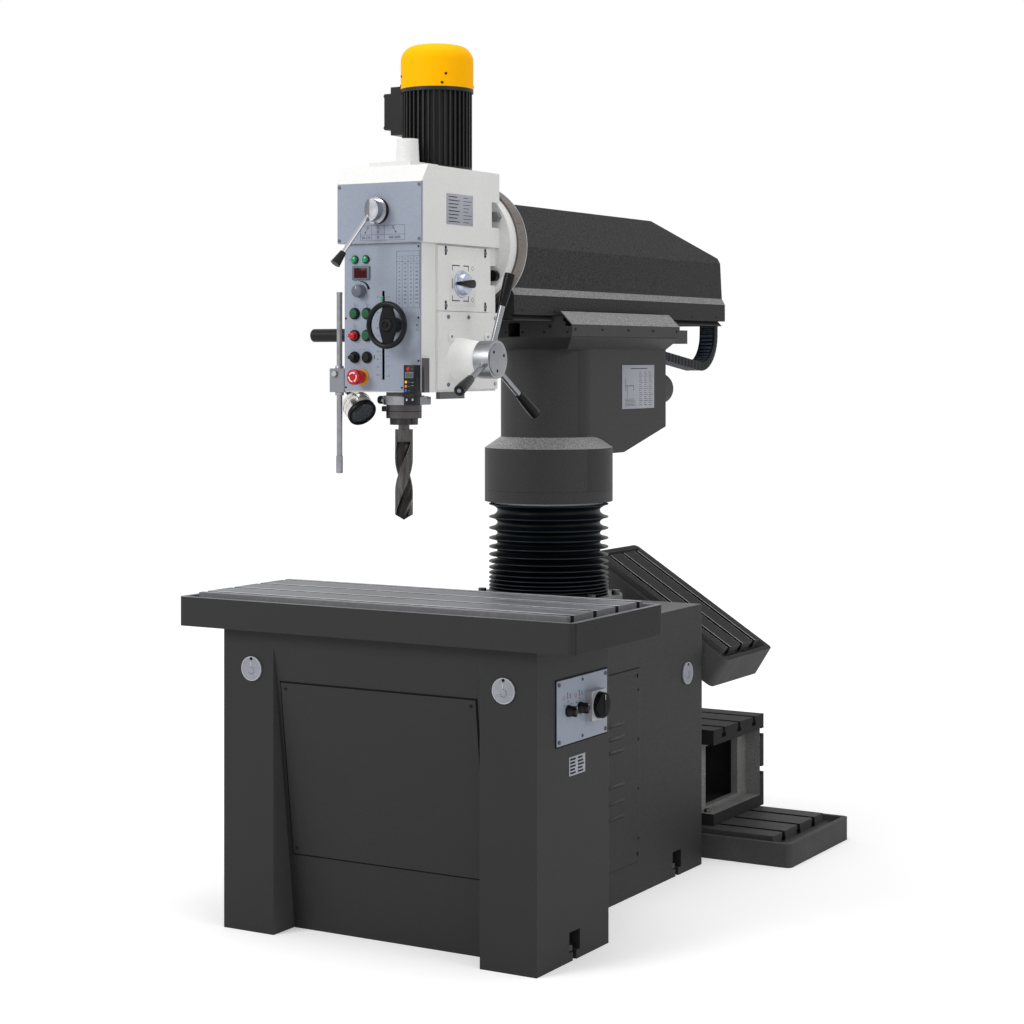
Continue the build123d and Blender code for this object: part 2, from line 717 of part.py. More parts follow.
def rotary_knob(radius, height, ridge):
    """Round knob with a finger ridge across it, standing on its face along +Z."""
    skirt = Pos(0, 0, height / 4) * Cylinder(radius, height / 2)
    return skirt + Pos(0, 0, height / 2) * Box(ridge, 2 * radius - 1, height)


def knob_on_right(radius, height, ridge, x, y, z):
    return Pos(x + SEAT_GAP, y, z) * Rot(0, 90, 0) * rotary_knob(radius, height, ridge)


save("main_switch",
     knob_on_right(SWITCH_KNOB_RADIUS, SWITCH_KNOB_HEIGHT, 15, SWITCH_FACE, SWITCH_Y, SWITCH_Z))
for knob_name, knob_y in zip(("left_switch", "right_switch"), SMALL_KNOB_YS):
    save(knob_name, knob_on_right(SMALL_KNOB_RADIUS, SMALL_KNOB_HEIGHT, 7, PANEL_X, knob_y, SWITCH_Z))


# Column, its guide in the rear box, and the rack drive that lifts it
def column_guide():
    body = post(FLANGE_RADIUS, 0, 0, REAR_TOP, GUIDE_TOP)
    body += post(SLEEVE_RADIUS, 0, 0, SLEEVE_LOW, GUIDE_TOP)
    reach = LIFT_Y + LIFT_SHAFT_RADIUS + LIFT_BOSS_WALL
    body += block(-LIFT_BOSS_HALF, LIFT_BOSS_HALF, LIFT_BOSS_FRONT, reach, LIFT_Z - LIFT_BOSS_RISE,
                  LIFT_Z + LIFT_BOSS_RISE)
    body -= post(COLUMN_RADIUS + RUN_FIT, 0, 0, SLEEVE_LOW - 1, GUIDE_TOP + 1)
    window = LIFT_PINION_WIDTH / 2 + 4
    pinion_room = LIFT_TEETH * LIFT_MODULE / 2 + LIFT_MODULE + 4
    body -= block(-window, window, LIFT_BOSS_FRONT, reach + 1, LIFT_Z - pinion_room, LIFT_Z + pinion_room)
    return body - rod_x(LIFT_SHAFT_RADIUS + RUN_FIT, -SLEEVE_RADIUS, SLEEVE_RADIUS, LIFT_Y, LIFT_Z)


save("column_guide", column_guide())
MOTOR_WALL = REAR_HALF - BASE_WALL
LIFT_SHAFT_END = MOTOR_WALL - LIFT_MOTOR_LENGTH + LIFT_SHAFT_INSERT


def lift_motor():
    half = LIFT_MOTOR_SIZE / 2
    low = LIFT_Z - half
    mouth = MOTOR_WALL - LIFT_MOTOR_LENGTH
    body = block(mouth, MOTOR_WALL, LIFT_Y - half, LIFT_Y + half, low, LIFT_Z + half)
    can = half - LIFT_MOTOR_STEP
    body += post(can, MOTOR_WALL - LIFT_MOTOR_LENGTH / 2, LIFT_Y, low - LIFT_MOTOR_CAN, low)
    return body - rod_x(LIFT_SHAFT_RADIUS + RUN_FIT, mouth - 1, LIFT_SHAFT_END + 1, LIFT_Y, LIFT_Z)


save("lift_motor", lift_motor())
half_face = LIFT_PINION_WIDTH / 2
lift_gear = extrude(Plane.YZ * gear_face(LIFT_TEETH, LIFT_MODULE, 180), LIFT_PINION_WIDTH, dir=(1, 0, 0))
save("lift_pinion", Pos(-half_face, LIFT_Y, LIFT_Z) * lift_gear
     + rod_x(LIFT_SHAFT_RADIUS, -LIFT_BOSS_HALF, LIFT_SHAFT_END, LIFT_Y, LIFT_Z))


def column():
    body = post(COLUMN_RADIUS, 0, 0, COLUMN_LOW, COLUMN_TOP)
    root = LIFT_RACK_LINE - 1.25 * LIFT_MODULE
    half = LIFT_PINION_WIDTH / 2 + 2
    low = LIFT_Z - LIFT_TRAVEL - 45
    high = LIFT_Z + 45
    body -= block(-half, half, root, COLUMN_RADIUS + 1, low, high)
    body += rack_bar(LIFT_RACK_LINE, COLUMN_BORE, LIFT_MODULE, LIFT_Z, low, high, half)
    return body - post(COLUMN_BORE, 0, 0, COLUMN_LOW - 1, COLUMN_TOP + 1)


COLLAR_HIGH = COLLAR_LOW + COLLAR_RING
collar = post(COLLAR_RADIUS, 0, 0, COLLAR_LOW, COLLAR_HIGH)
collar -= post(COLUMN_RADIUS, 0, 0, COLLAR_LOW - 1, COLLAR_HIGH + 1)
save("column", column(), collar)
save("swing_bearing", post(COLUMN_RADIUS - 2, 0, 0, COLUMN_TOP, COLUMN_TOP + BEARING_HEIGHT)
     - post(COLUMN_BORE, 0, 0, COLUMN_TOP - 1, COLUMN_TOP + BEARING_HEIGHT + 1))


# Bellows: pleats lie closer together towards the bottom
def bellows():
    low = GUIDE_TOP + SEAT_GAP
    high = COLLAR_LOW - SEAT_GAP
    growth = BELLOWS_STRETCH ** (1 / (BELLOWS_PLEATS - 1))
    heights = [growth ** index for index in range(BELLOWS_PLEATS)]
    scale = (high - low) / sum(heights)
    outside = [(BELLOWS_OUTER, low)]
    z = low
    for height in heights:
        outside.append((BELLOWS_INNER, z + height * scale / 2))
        z += height * scale
        outside.append((BELLOWS_OUTER, z))
    inside = [(radius - BELLOWS_WALL, z) for radius, z in reversed(outside)]
    return turned(outside + inside)


save("bellows", bellows())


# Saddle: collar and shoulder round the column, body behind it, flared bed and rails of the slide on top
def saddle():
    profile = [(0, SADDLE_LOW), (COLLAR_RADIUS, SADDLE_LOW), (COLLAR_RADIUS, SADDLE_COLLAR_TOP),
               (SADDLE_HALF, SHOULDER_TOP), (SADDLE_HALF, BED_LOW), (0, BED_LOW)]
    body = turned(profile)
    side = [(0, SADDLE_LOW_FRONT), (SADDLE_SLOPE_START, SADDLE_LOW_FRONT), (SADDLE_REAR, SADDLE_LOW_REAR),
            (SADDLE_REAR, BED_LOW), (0, BED_LOW)]
    body += prism_x(side, -SADDLE_HALF, SADDLE_HALF)
    flare_side = both_sides([(SADDLE_HALF, FLARE_LOW), (BED_HALF, BED_LOW)])
    flare_front = [(-SADDLE_HALF, FLARE_LOW), (SADDLE_REAR, FLARE_LOW), (SADDLE_REAR, BED_LOW),
                   (BED_FRONT, BED_LOW)]
    body += prism_y(flare_side, BED_FRONT, SADDLE_REAR) & prism_x(flare_front, -BED_HALF, BED_HALF)
    body += block(-BED_HALF, BED_HALF, BED_FRONT, SADDLE_REAR, BED_LOW, BED_SHOULDER)
    body += block(-WAY_HALF, WAY_HALF, BED_FRONT, SADDLE_REAR, BED_SHOULDER, BED_TOP)
    foot = DOVETAIL_LOW_HALF + SLIDE_PLAY
    neck = DOVETAIL_TOP_HALF + SLIDE_PLAY
    rail = prism_y([(foot, BED_TOP), (RAIL_OUTER, BED_TOP), (RAIL_OUTER, RAIL_TOP), (neck, RAIL_TOP)],
                   BED_FRONT, SADDLE_REAR)
    body += rail
    body += mirrored(rail)
    body -= post(COLUMN_RADIUS + RUN_FIT, 0, 0, SADDLE_LOW - 1, SADDLE_CEILING)
    inner = SADDLE_HALF - SADDLE_WALL
    front = COLUMN_RADIUS + SADDLE_WALL
    room_low = SADDLE_LOW_REAR + SADDLE_WALL
    body -= block(-inner, inner, front, SADDLE_REAR - SADDLE_WALL, room_low, BED_LOW - SADDLE_WALL)
    body -= block(-PORT_HALF, PORT_HALF, BED_FRONT - 1, BED_FRONT + PORT_DEPTH, BED_LOW + SHEET,
                  BED_TOP - SHEET)
    wall = SADDLE_REAR - SADDLE_WALL
    return body - rod_y(CLAMP_RADIUS - 12, CLAMP_X, wall - 1, SADDLE_REAR + 1, CLAMP_Z)


save("saddle", saddle())


def slide_guard():
    outer = BED_HALF + SHEET
    points = [(BED_HALF, GUARD_LIP_LOW), (outer, GUARD_LIP_LOW), (outer, GUARD_LIP_TOP),
              (GUARD_INNER, GUARD_TOP), (GUARD_INNER, GUARD_TOP - 1.4 * SHEET),
              (BED_HALF, GUARD_LIP_TOP - SHEET)]
    return prism_y(points, BED_FRONT, SADDLE_REAR)


right_guard = slide_guard()
save("slide_guards", right_guard, mirrored(right_guard))


# Clamp unit on the saddle's back, and the stop block under the ram
def clamp_unit():
    end = SADDLE_REAR + CLAMP_LENGTH
    body = rod_y(CLAMP_RADIUS, CLAMP_X, SADDLE_REAR, end, CLAMP_Z)
    body = fillet(body.edges().sort_by(Axis.Y)[-1], CLAMP_RADIUS / 3)
    spigot = CLAMP_RADIUS - 12 - SEAT_GAP
    return body + rod_y(spigot, CLAMP_X, SADDLE_REAR - SADDLE_WALL, SADDLE_REAR, CLAMP_Z)


save("clamp_unit", clamp_unit(),
     block(STOP_BLOCK_LEFT, STOP_BLOCK_RIGHT, SADDLE_REAR, SADDLE_REAR + STOP_BLOCK_LENGTH, STOP_BLOCK_LOW,
           STOP_BLOCK_HIGH))


# Cable chain: it leaves the saddle's back, turns upwards and ends under the ram
def cable_chain():
    lean = radians(CHAIN_LEAN)
    turn_y = CHAIN_END_Y - CHAIN_BEND * (1 + sin(lean))
    turn_z = CHAIN_EXIT_Z - (turn_y - SADDLE_REAR) * tan(lean)
    start = (SADDLE_REAR - 10, CHAIN_EXIT_Z + 10 * tan(lean))
    top = turn_z + CHAIN_BEND * cos(lean)
    run = Line(start, (turn_y, turn_z))
    turn = TangentArc((turn_y, turn_z), (CHAIN_END_Y, top), tangent=(cos(lean), -sin(lean)))
    rise = Line((CHAIN_END_Y, top), (CHAIN_END_Y, CHAIN_TOP))
    band = trace([run, turn, rise], CHAIN_THICK)
    left = CHAIN_X - CHAIN_WIDTH / 2
    chain = Pos(left, 0, 0) * extrude(Plane.YZ * band, CHAIN_WIDTH, dir=(1, 0, 0))
    far = left + 2 * CHAIN_WIDTH
    return chain - block(left - 1, far, SADDLE_REAR - 60, SADDLE_REAR, turn_z, BED_TOP)


save("cable_chain", cable_chain())


# Ram: beam with the dovetail, spine and front plate, and the sheet hood over it
def hood_outline(inset):
    """Half outline of the hood as (x, z), moved in by one sheet for the inside."""
    return [(SKIRT_HALF - inset, SKIRT_LOW), (SKIRT_HALF - inset, SKIRT_TOP - inset / 2),
            (SIDE_LOW_HALF - inset, SIDE_LOW - inset / 2), (SIDE_TOP_HALF - inset, SIDE_TOP - inset / 2),
            (ROOF_HALF - inset / 2, ROOF_TOP - inset)]


def hood_block(inset, y0, y1):
    body = prism_y(both_sides(hood_outline(inset)), y0, y1)
    drop = (ROOF_TOP - ROOF_REAR_TOP) / (RAM_REAR - ROOF_BREAK_Y)
    far = RAM_REAR + 50
    top = ROOF_TOP - inset
    slope = [(ROOF_BREAK_Y, top), (far, top - drop * (far - ROOF_BREAK_Y)), (far, top + 50),
             (ROOF_BREAK_Y, top + 50)]
    return body - prism_x(slope, -SKIRT_HALF, SKIRT_HALF)


save("ram_hood", hood_block(0, RAM_FRONT, RAM_REAR)
     - hood_block(HOOD_SHEET, RAM_FRONT - 1, RAM_REAR - HOOD_SHEET))


def ram_beam():
    knee = SLIDE_LOW + DOVETAIL_HEIGHT
    back = RAM_REAR - BEAM_SETBACK
    edge = SKIRT_HALF - HOOD_SHEET
    flange = SKIRT_LOW + HOOD_FLANGE
    outline = [(DOVETAIL_LOW_HALF, SLIDE_LOW), (DOVETAIL_TOP_HALF, knee), (DOVETAIL_TOP_HALF, SKIRT_LOW),
               (edge, SKIRT_LOW), (edge, flange), (SPINE_HALF, flange), (SPINE_HALF, SPINE_TOP)]
    body = prism_y(both_sides(outline), RAM_FRONT, back)
    inner = SPINE_HALF - SPINE_WALL
    plate = RAM_FRONT + FRONT_PLATE
    body -= block(-inner, inner, plate, back + 1, flange + SPINE_WALL, SPINE_TOP - SPINE_WALL)
    return body + hood_block(HOOD_SHEET + SEAT_GAP, RAM_FRONT, plate)


save("ram_beam", ram_beam())


def swivel_ring():
    body = rod_y(SWIVEL_RADIUS, 0, SWIVEL_FACE, RAM_FRONT, SWIVEL_Z)
    body += rod_y(SPIGOT_RADIUS, 0, SWIVEL_FACE - SPIGOT_LENGTH, SWIVEL_FACE, SWIVEL_Z)
    deep = SWIVEL_FACE + CLAMP_GROOVE_DEPTH
    outer = CLAMP_GROOVE_RADIUS + CLAMP_GROOVE_HALF
    groove = rod_y(outer, 0, SWIVEL_FACE - 1, deep, SWIVEL_Z)
    groove -= rod_y(CLAMP_GROOVE_RADIUS - CLAMP_GROOVE_HALF, 0, SWIVEL_FACE - 1, deep, SWIVEL_Z)
    return body - groove


save("swivel_ring", swivel_ring())

# Head casting with the quill bore, pinion room, switch bay and rear flange
FLANGE_FACE = SWIVEL_FACE - 2 * RUN_FIT


def around_swivel(angle):
    """Place of a bolt on the swivel's clamp circle, measured up from the horizontal."""
    turn = radians(angle)
    return CLAMP_GROOVE_RADIUS * cos(turn), SWIVEL_Z + CLAMP_GROOVE_RADIUS * sin(turn)


def head_casting():
    body = block(-HEAD_HALF, HEAD_HALF, HEAD_FRONT, HEAD_REAR, HEAD_LOW, HEAD_SPLIT)
    body += block(-GEARBOX_HALF, GEARBOX_HALF, HEAD_REAR - BACK_WALL, HEAD_REAR, HEAD_SPLIT, HEAD_TOP)
    body += rod_y(HEAD_FLANGE_RADIUS, 0, HEAD_REAR, FLANGE_FACE, SWIVEL_Z)
    body -= rod_y(SPIGOT_RADIUS + RUN_FIT, 0, SWIVEL_FACE - SPIGOT_LENGTH - 1, FLANGE_FACE + 1, SWIVEL_Z)
    body -= block(-CORE_HALF, CORE_HALF, CORE_FRONT, HEAD_REAR - BACK_WALL / 2, CORE_LOW, HEAD_SPLIT)
    body -= post(QUILL_RADIUS + RUN_FIT, 0, SPINDLE_Y, HEAD_LOW - 1, HEAD_SPLIT + 1)
    room = FEED_TEETH * FEED_MODULE / 2 + FEED_MODULE + 3
    half = FEED_PINION_WIDTH / 2 + 4
    body -= rod_x(room, -half, half, FEED_Y, FEED_Z)
    body -= rod_x(FEED_SHAFT_RADIUS + RUN_FIT, half - 1, HEAD_HALF + 1, FEED_Y, FEED_Z)
    body -= block(SWITCH_BAY_LEFT, SWITCH_BAY_RIGHT, HEAD_FRONT - 1, HEAD_FRONT + SWITCH_BAY_DEPTH,
                  HEAD_LOW + 10, HEAD_SPLIT - 20)
    body -= block(SLOT_X - SLOT_HALF, SLOT_X + SLOT_HALF, HEAD_FRONT - 1, SPINDLE_Y, SLOT_LOW, SLOT_HIGH)
    body -= rod_y(FINE_SHAFT_RADIUS + RUN_FIT, FINE_WHEEL_X, HEAD_FRONT - 1, HEAD_FRONT + 36, FINE_WHEEL_Z)
    pocket = block(GEARBOX_HALF - CLAMP_POCKET_DEPTH, GEARBOX_HALF + 5, HEAD_REAR - BACK_WALL - 1, HEAD_REAR,
                   CLAMP_POCKET_LOW, CLAMP_POCKET_HIGH)
    body = body - pocket - mirrored(pocket)
    bolt_x, bolt_z = around_swivel(CLAMP_BOLT_ANGLE)
    for side in (-1, 1):
        body -= rod_y(8 + RUN_FIT, side * bolt_x, HEAD_REAR - 1, FLANGE_FACE + 1, bolt_z)
    lock_x, lock_z = around_swivel(LOCK_KNOB_ANGLE)
    room = LOCK_KNOB_RADIUS + 3
    body -= block(lock_x - room, HEAD_HALF + 1, FEED_UPPER_REAR, HEAD_REAR, lock_z - room - 8,
                  lock_z + room + 8)
    return body - rod_y(6 + RUN_FIT, lock_x, HEAD_REAR - 1, FLANGE_FACE + 1, lock_z)


save("head_casting", head_casting())


def gearbox_housing():
    back = HEAD_REAR - BACK_WALL
    brow = [(GEARBOX_FRONT, HEAD_SPLIT), (GEARBOX_FRONT, BROW_LOW), (GEARBOX_FACE, BROW_LOW),
            (GEARBOX_FACE + BROW_DEPTH, HEAD_TOP), (back, HEAD_TOP), (back, HEAD_SPLIT)]
    body = prism_x(brow, -GEARBOX_HALF, GEARBOX_HALF)
    inner = GEARBOX_HALF - GEARBOX_WALL
    body -= block(-inner, inner, GEARBOX_FRONT + GEARBOX_WALL, back - GEARBOX_WALL, GEARBOX_FLOOR,
                  GEARBOX_ROOF)
    body -= post(SLEEVE_GEAR_RADIUS + RUN_FIT, 0, SPINDLE_Y, HEAD_SPLIT - 1, GEARBOX_FLOOR + 1)
    body -= post(SPLINE_RADIUS + 2, 0, SPINDLE_Y, GEARBOX_ROOF - 1, HEAD_TOP + 1)
    body -= post(LAYSHAFT_RADIUS + RUN_FIT, 0, LAY_Y, HEAD_SPLIT + 1, HEAD_TOP - 5)
    return body - post(MOTOR_TEETH * GEAR_MODULE / 2 + 8, 0, MOTOR_Y, GEARBOX_ROOF - 1, HEAD_TOP + 1)


save("gearbox_housing", gearbox_housing())
LEVER_PIN = 12.0
gearbox_panel = block(-GEARBOX_HALF + 2, GEARBOX_HALF - 2, GEARBOX_FACE, GEARBOX_FRONT, HEAD_SPLIT + 1,
                      BROW_LOW)
gearbox_panel -= rod_y(LEVER_PIN, SPEED_LEVER_X, GEARBOX_FACE - 1, GEARBOX_FRONT + 1, SPEED_LEVER_Z)
save("gearbox_panel", gearbox_panel)

PRESS_BUTTONS = {
    "start_button": (BUTTON_LEFT_X, BUTTON_ROW_HIGH),
    "reverse_button": (BUTTON_RIGHT_X, BUTTON_ROW_HIGH),
    "tapping_button": (BUTTON_RIGHT_X, BUTTON_ROW_MIDDLE),
    "stop_button": (BUTTON_RIGHT_X, BUTTON_ROW_LOW),
}
TURN_SELECTORS = {
    "mode_selector": (BUTTON_LEFT_X, BUTTON_ROW_MIDDLE),
    "light_selector": (BUTTON_LEFT_X, BUTTON_ROW_LOW),
}


def control_panel():
    body = block(-HEAD_HALF + 2, HEAD_HALF - 2, PANEL_FACE, HEAD_FRONT, HEAD_LOW + 4, HEAD_SPLIT - 3)
    through = (PANEL_FACE - 1, HEAD_FRONT + 1)
    for x, z in PRESS_BUTTONS.values():
        body -= rod_y(BUTTON_RADIUS + SEAT_GAP, x, *through, z)
    for x, z in TURN_SELECTORS.values():
        body -= rod_y(BUTTON_RADIUS + SEAT_GAP, x, *through, z)
    body -= rod_y(STOP_RADIUS / 2 + SEAT_GAP, STOP_X, *through, STOP_Z)
    body -= rod_y(FINE_SHAFT_RADIUS + RUN_FIT, FINE_WHEEL_X, *through, FINE_WHEEL_Z)
    body -= rod_y(4 + RUN_FIT, SPEED_KNOB_X, *through, SPEED_KNOB_Z)
    return body - block(SLOT_X - SLOT_HALF, SLOT_X + SLOT_HALF, *through, SLOT_LOW, SLOT_HIGH)


save("control_panel", control_panel())


# Fixed fittings on the panel: lamps, display, button bezels and the collar of the emergency stop
def bezel(radius, bore, x, z, height):
    front = PANEL_FACE - height
    return rod_y(radius, x, front, PANEL_FACE, z) - rod_y(bore, x, front - 1, PANEL_FACE + 1, z)


def panel_fittings():
    for x in LAMP_XS:
        ring = rod_y(LAMP_RADIUS, x, PANEL_FACE - 4, PANEL_FACE, LAMP_Z)
        yield ring + rod_y(LAMP_RADIUS - 2, x, PANEL_FACE - 10, PANEL_FACE - 4, LAMP_Z)
    yield block(DISPLAY_LEFT, DISPLAY_RIGHT, PANEL_FACE - 5, PANEL_FACE, DISPLAY_LOW, DISPLAY_HIGH)
    for x, z in PRESS_BUTTONS.values():
        yield bezel(BEZEL_RADIUS, BUTTON_RADIUS + SEAT_GAP, x, z, BEZEL_HEIGHT)
    for x, z in TURN_SELECTORS.values():
        yield bezel(BEZEL_RADIUS, BUTTON_RADIUS + SEAT_GAP, x, z, BEZEL_HEIGHT)
    yield bezel(STOP_COLLAR_RADIUS, STOP_RADIUS / 2 + SEAT_GAP, STOP_X, STOP_Z, 4)


save("panel_fittings", *panel_fittings())

BUTTON_FRONT = PANEL_FACE - BEZEL_HEIGHT - BUTTON_TRAVEL
for button_name, (button_x, button_z) in PRESS_BUTTONS.items():
    save(button_name, rod_y(BUTTON_RADIUS, button_x, BUTTON_FRONT, HEAD_FRONT - 1, button_z)
         + rod_y(5, button_x, HEAD_FRONT - 1, HEAD_FRONT + 20, button_z))
for selector_name, (selector_x, selector_z) in TURN_SELECTORS.items():
    ridge = Box(2 * BUTTON_RADIUS, 8, 12)
    ridge = Pos(selector_x - 4, PANEL_FACE - BEZEL_HEIGHT - 6, selector_z) * Rot(90, 0, 0) * ridge
    face = PANEL_FACE - BEZEL_HEIGHT
    save(selector_name, rod_y(BUTTON_RADIUS, selector_x, face, HEAD_FRONT - 1, selector_z)
         + rod_y(5, selector_x, HEAD_FRONT - 1, HEAD_FRONT + 20, selector_z) + ridge)
knob_back = PANEL_FACE - SEAT_GAP
save("speed_knob", rod_y(SPEED_KNOB_RADIUS, SPEED_KNOB_X, PANEL_FACE - 24, knob_back, SPEED_KNOB_Z)
     + rod_y(4, SPEED_KNOB_X, knob_back, HEAD_FRONT + 16, SPEED_KNOB_Z))
STOP_FRONT = PANEL_FACE - 4 - STOP_TRAVEL - 34
save("emergency_stop", rod_y(STOP_RADIUS, STOP_X, STOP_FRONT, STOP_FRONT + 26, STOP_Z)
     + rod_y(STOP_RADIUS / 2, STOP_X, STOP_FRONT + 26, HEAD_FRONT + 16, STOP_Z))


# Fine-feed handwheel: round rim, broad spoke and hub on a shaft
def fine_feed_wheel():
    rim = Rot(90, 0, 0) * Torus(FINE_WHEEL_RADIUS, FINE_RIM_RADIUS)
    rim = Pos(FINE_WHEEL_X, FINE_RIM_Y, FINE_WHEEL_Z) * rim
    spoke = block(FINE_WHEEL_X - 13, FINE_WHEEL_X + 13, FINE_RIM_Y + 2, FINE_RIM_Y + 12,
                  FINE_WHEEL_Z - FINE_WHEEL_RADIUS, FINE_WHEEL_Z + FINE_WHEEL_RADIUS)
    hub = rod_y(20, FINE_WHEEL_X, FINE_RIM_Y - 6, PANEL_FACE - 6, FINE_WHEEL_Z)
    shaft = rod_y(FINE_SHAFT_RADIUS, FINE_WHEEL_X, PANEL_FACE - 6, HEAD_FRONT + 34, FINE_WHEEL_Z)
    return rim + spoke + hub + shaft


save("fine_feed_wheel", fine_feed_wheel())


# Speed lever: base, wedge hub, slanted rod and knob
def speed_lever():
    centre = Vector(SPEED_LEVER_X, GEARBOX_FACE, SPEED_LEVER_Z)
    back = GEARBOX_FACE - SEAT_GAP
    base_front = GEARBOX_FACE - SPEED_LEVER_BASE_HEIGHT
    hub_front = base_front - SPEED_LEVER_HUB
    hub_radius = SPEED_LEVER_BASE - 5
    hub = rod_y(hub_radius, SPEED_LEVER_X, hub_front, base_front, SPEED_LEVER_Z)
    slant = Plane(origin=(SPEED_LEVER_X - hub_radius, base_front - 6, SPEED_LEVER_Z), z_dir=(-0.6, -0.8, 0))
    hub -= slant * Pos(0, 0, hub_radius) * Box(6 * hub_radius, 6 * hub_radius, 2 * hub_radius)
    body = rod_y(SPEED_LEVER_BASE, SPEED_LEVER_X, base_front, back, SPEED_LEVER_Z) + hub
    body += rod_y(LEVER_PIN - RUN_FIT, SPEED_LEVER_X, back, GEARBOX_FRONT - 0.5, SPEED_LEVER_Z)
    start = centre + Vector(*SPEED_LEVER_START)
    end = centre + Vector(*SPEED_LEVER_END)
    along = (end - start).normalized()
    length = (end - start).length
    rod = Plane(origin=start, z_dir=along) * Pos(0, 0, length / 2) * Cylinder(SPEED_LEVER_ROD, length)
    grip = Cone(SPEED_LEVER_ROD + 3, SPEED_LEVER_ROD + 8, SPEED_LEVER_GRIP)
    return body + rod + Plane(origin=end, z_dir=along) * grip


save("speed_lever", speed_lever())


# Right side of the head: feed cover plates, the boss of the feed shaft and the feed selector
def feed_cover():
    upper = block(HEAD_HALF, SIDE_FACE, FEED_PLATE_FRONT, FEED_UPPER_REAR, FEED_PLATE_SPLIT + 1,
                  FEED_PLATE_TOP)
    upper -= rod_x(10 + RUN_FIT, HEAD_HALF - 1, SIDE_FACE + 1, FEED_KNOB_Y, FEED_KNOB_Z)
    lower = block(HEAD_HALF, SIDE_FACE, FEED_PLATE_FRONT, HEAD_REAR, FEED_PLATE_LOW, FEED_PLATE_SPLIT)
    boss = Rot(0, 90, 0) * Cone(BOSS_BASE_RADIUS, BOSS_TIP_RADIUS, BOSS_LENGTH)
    lower += Pos(SIDE_FACE + BOSS_LENGTH / 2, FEED_Y, FEED_Z) * boss
    mouth = SIDE_FACE + BOSS_LENGTH
    lower -= rod_x(FEED_SHAFT_RADIUS + RUN_FIT, HEAD_HALF - 1, mouth + 1, FEED_Y, FEED_Z)
    return upper, lower


save("feed_cover", *feed_cover())


def feed_selector():
    """Knob that narrows to its front, with a pointer across it."""
    seat = SIDE_FACE + SEAT_GAP
    front = seat + FEED_KNOB_HEIGHT
    skirt = Rot(0, 90, 0) * Cone(FEED_KNOB_RADIUS, FEED_KNOB_TIP, FEED_KNOB_HEIGHT)
    body = Pos(seat + FEED_KNOB_HEIGHT / 2, FEED_KNOB_Y, FEED_KNOB_Z) * skirt
    tip = FEED_KNOB_Y - FEED_POINTER_REACH
    tail = FEED_KNOB_Y + FEED_POINTER_TAIL
    body += block(front - FEED_POINTER_HEIGHT / 2, front + FEED_POINTER_HEIGHT, tip, tail,
                  FEED_KNOB_Z - FEED_POINTER_HALF, FEED_KNOB_Z + FEED_POINTER_HALF)
    return body + rod_x(10, HEAD_HALF + 1, seat + 1, FEED_KNOB_Y, FEED_KNOB_Z)


save("feed_selector", feed_selector())


# Pilot wheel: hub, shaft with the feed pinion, three levers with grips
def pilot_wheel():
    hub_end = HUB_START + HUB_LENGTH
    hub = rod_x(HUB_RADIUS, HUB_START, hub_end, FEED_Y, FEED_Z)
    half = FEED_PINION_WIDTH / 2
    hub += rod_x(FEED_SHAFT_RADIUS, -half, HUB_START, FEED_Y, FEED_Z)
    pinion = extrude(Plane.YZ * gear_face(FEED_TEETH, FEED_MODULE, 180), FEED_PINION_WIDTH, dir=(1, 0, 0))
    hub += Pos(-half, FEED_Y, FEED_Z) * pinion
    grips = []
    root_x = HUB_START + HUB_LENGTH * 0.45
    for index in range(3):
        turn = radians(LEVER_FIRST_ANGLE + 120 * index)
        lean = radians(LEVER_LEAN)
        along = Vector(sin(lean), cos(lean) * cos(turn), cos(lean) * sin(turn))
        plane = Plane(origin=(root_x, FEED_Y, FEED_Z), z_dir=along)
        rod_length = LEVER_REACH - GRIP_LENGTH
        hub += plane * Pos(0, 0, rod_length / 2) * Cylinder(LEVER_RADIUS, rod_length)
        grip = Cone(GRIP_RADIUS - 3, GRIP_RADIUS, GRIP_LENGTH)
        grips.append(plane * Pos(0, 0, rod_length + GRIP_LENGTH / 2) * grip)
    return hub, *grips


save("pilot_wheel", *pilot_wheel())


# Quill with its rack, clamp ring and depth gauge
def quill():
    body = post(QUILL_RADIUS, 0, SPINDLE_Y, QUILL_LOW, QUILL_TOP)
    root = FEED_RACK_LINE - 1.25 * FEED_MODULE
    half = FEED_PINION_WIDTH / 2 + 2
    low = FEED_Z - 35
    high = FEED_Z + QUILL_TRAVEL + 35
    body -= block(-half, half, SPINDLE_Y + root, SPINDLE_Y + QUILL_RADIUS + 1, low, high)
    rack = Pos(0, SPINDLE_Y, 0) * rack_bar(FEED_RACK_LINE, root - 2, FEED_MODULE, FEED_Z, low, high, half)
    body += rack & post(QUILL_RADIUS, 0, SPINDLE_Y, low, high)
    return body - post(SPINDLE_RADIUS + RUN_FIT, 0, SPINDLE_Y, QUILL_LOW - 1, QUILL_TOP + 1)


save("quill", quill())


def quill_clamp():
    middle = (CLAMP_RING_LOW + CLAMP_RING_HIGH) / 2
    ring = post(CLAMP_RING_RADIUS, 0, SPINDLE_Y, CLAMP_RING_LOW, CLAMP_RING_HIGH)
    ring += rod_x(CLAMP_STUD_RADIUS, -CLAMP_STUD_REACH, CLAMP_STUD_REACH, SPINDLE_Y, middle)
    return ring - post(QUILL_RADIUS, 0, SPINDLE_Y, CLAMP_RING_LOW - 1, CLAMP_RING_HIGH + 1)


save("quill_clamp", quill_clamp())


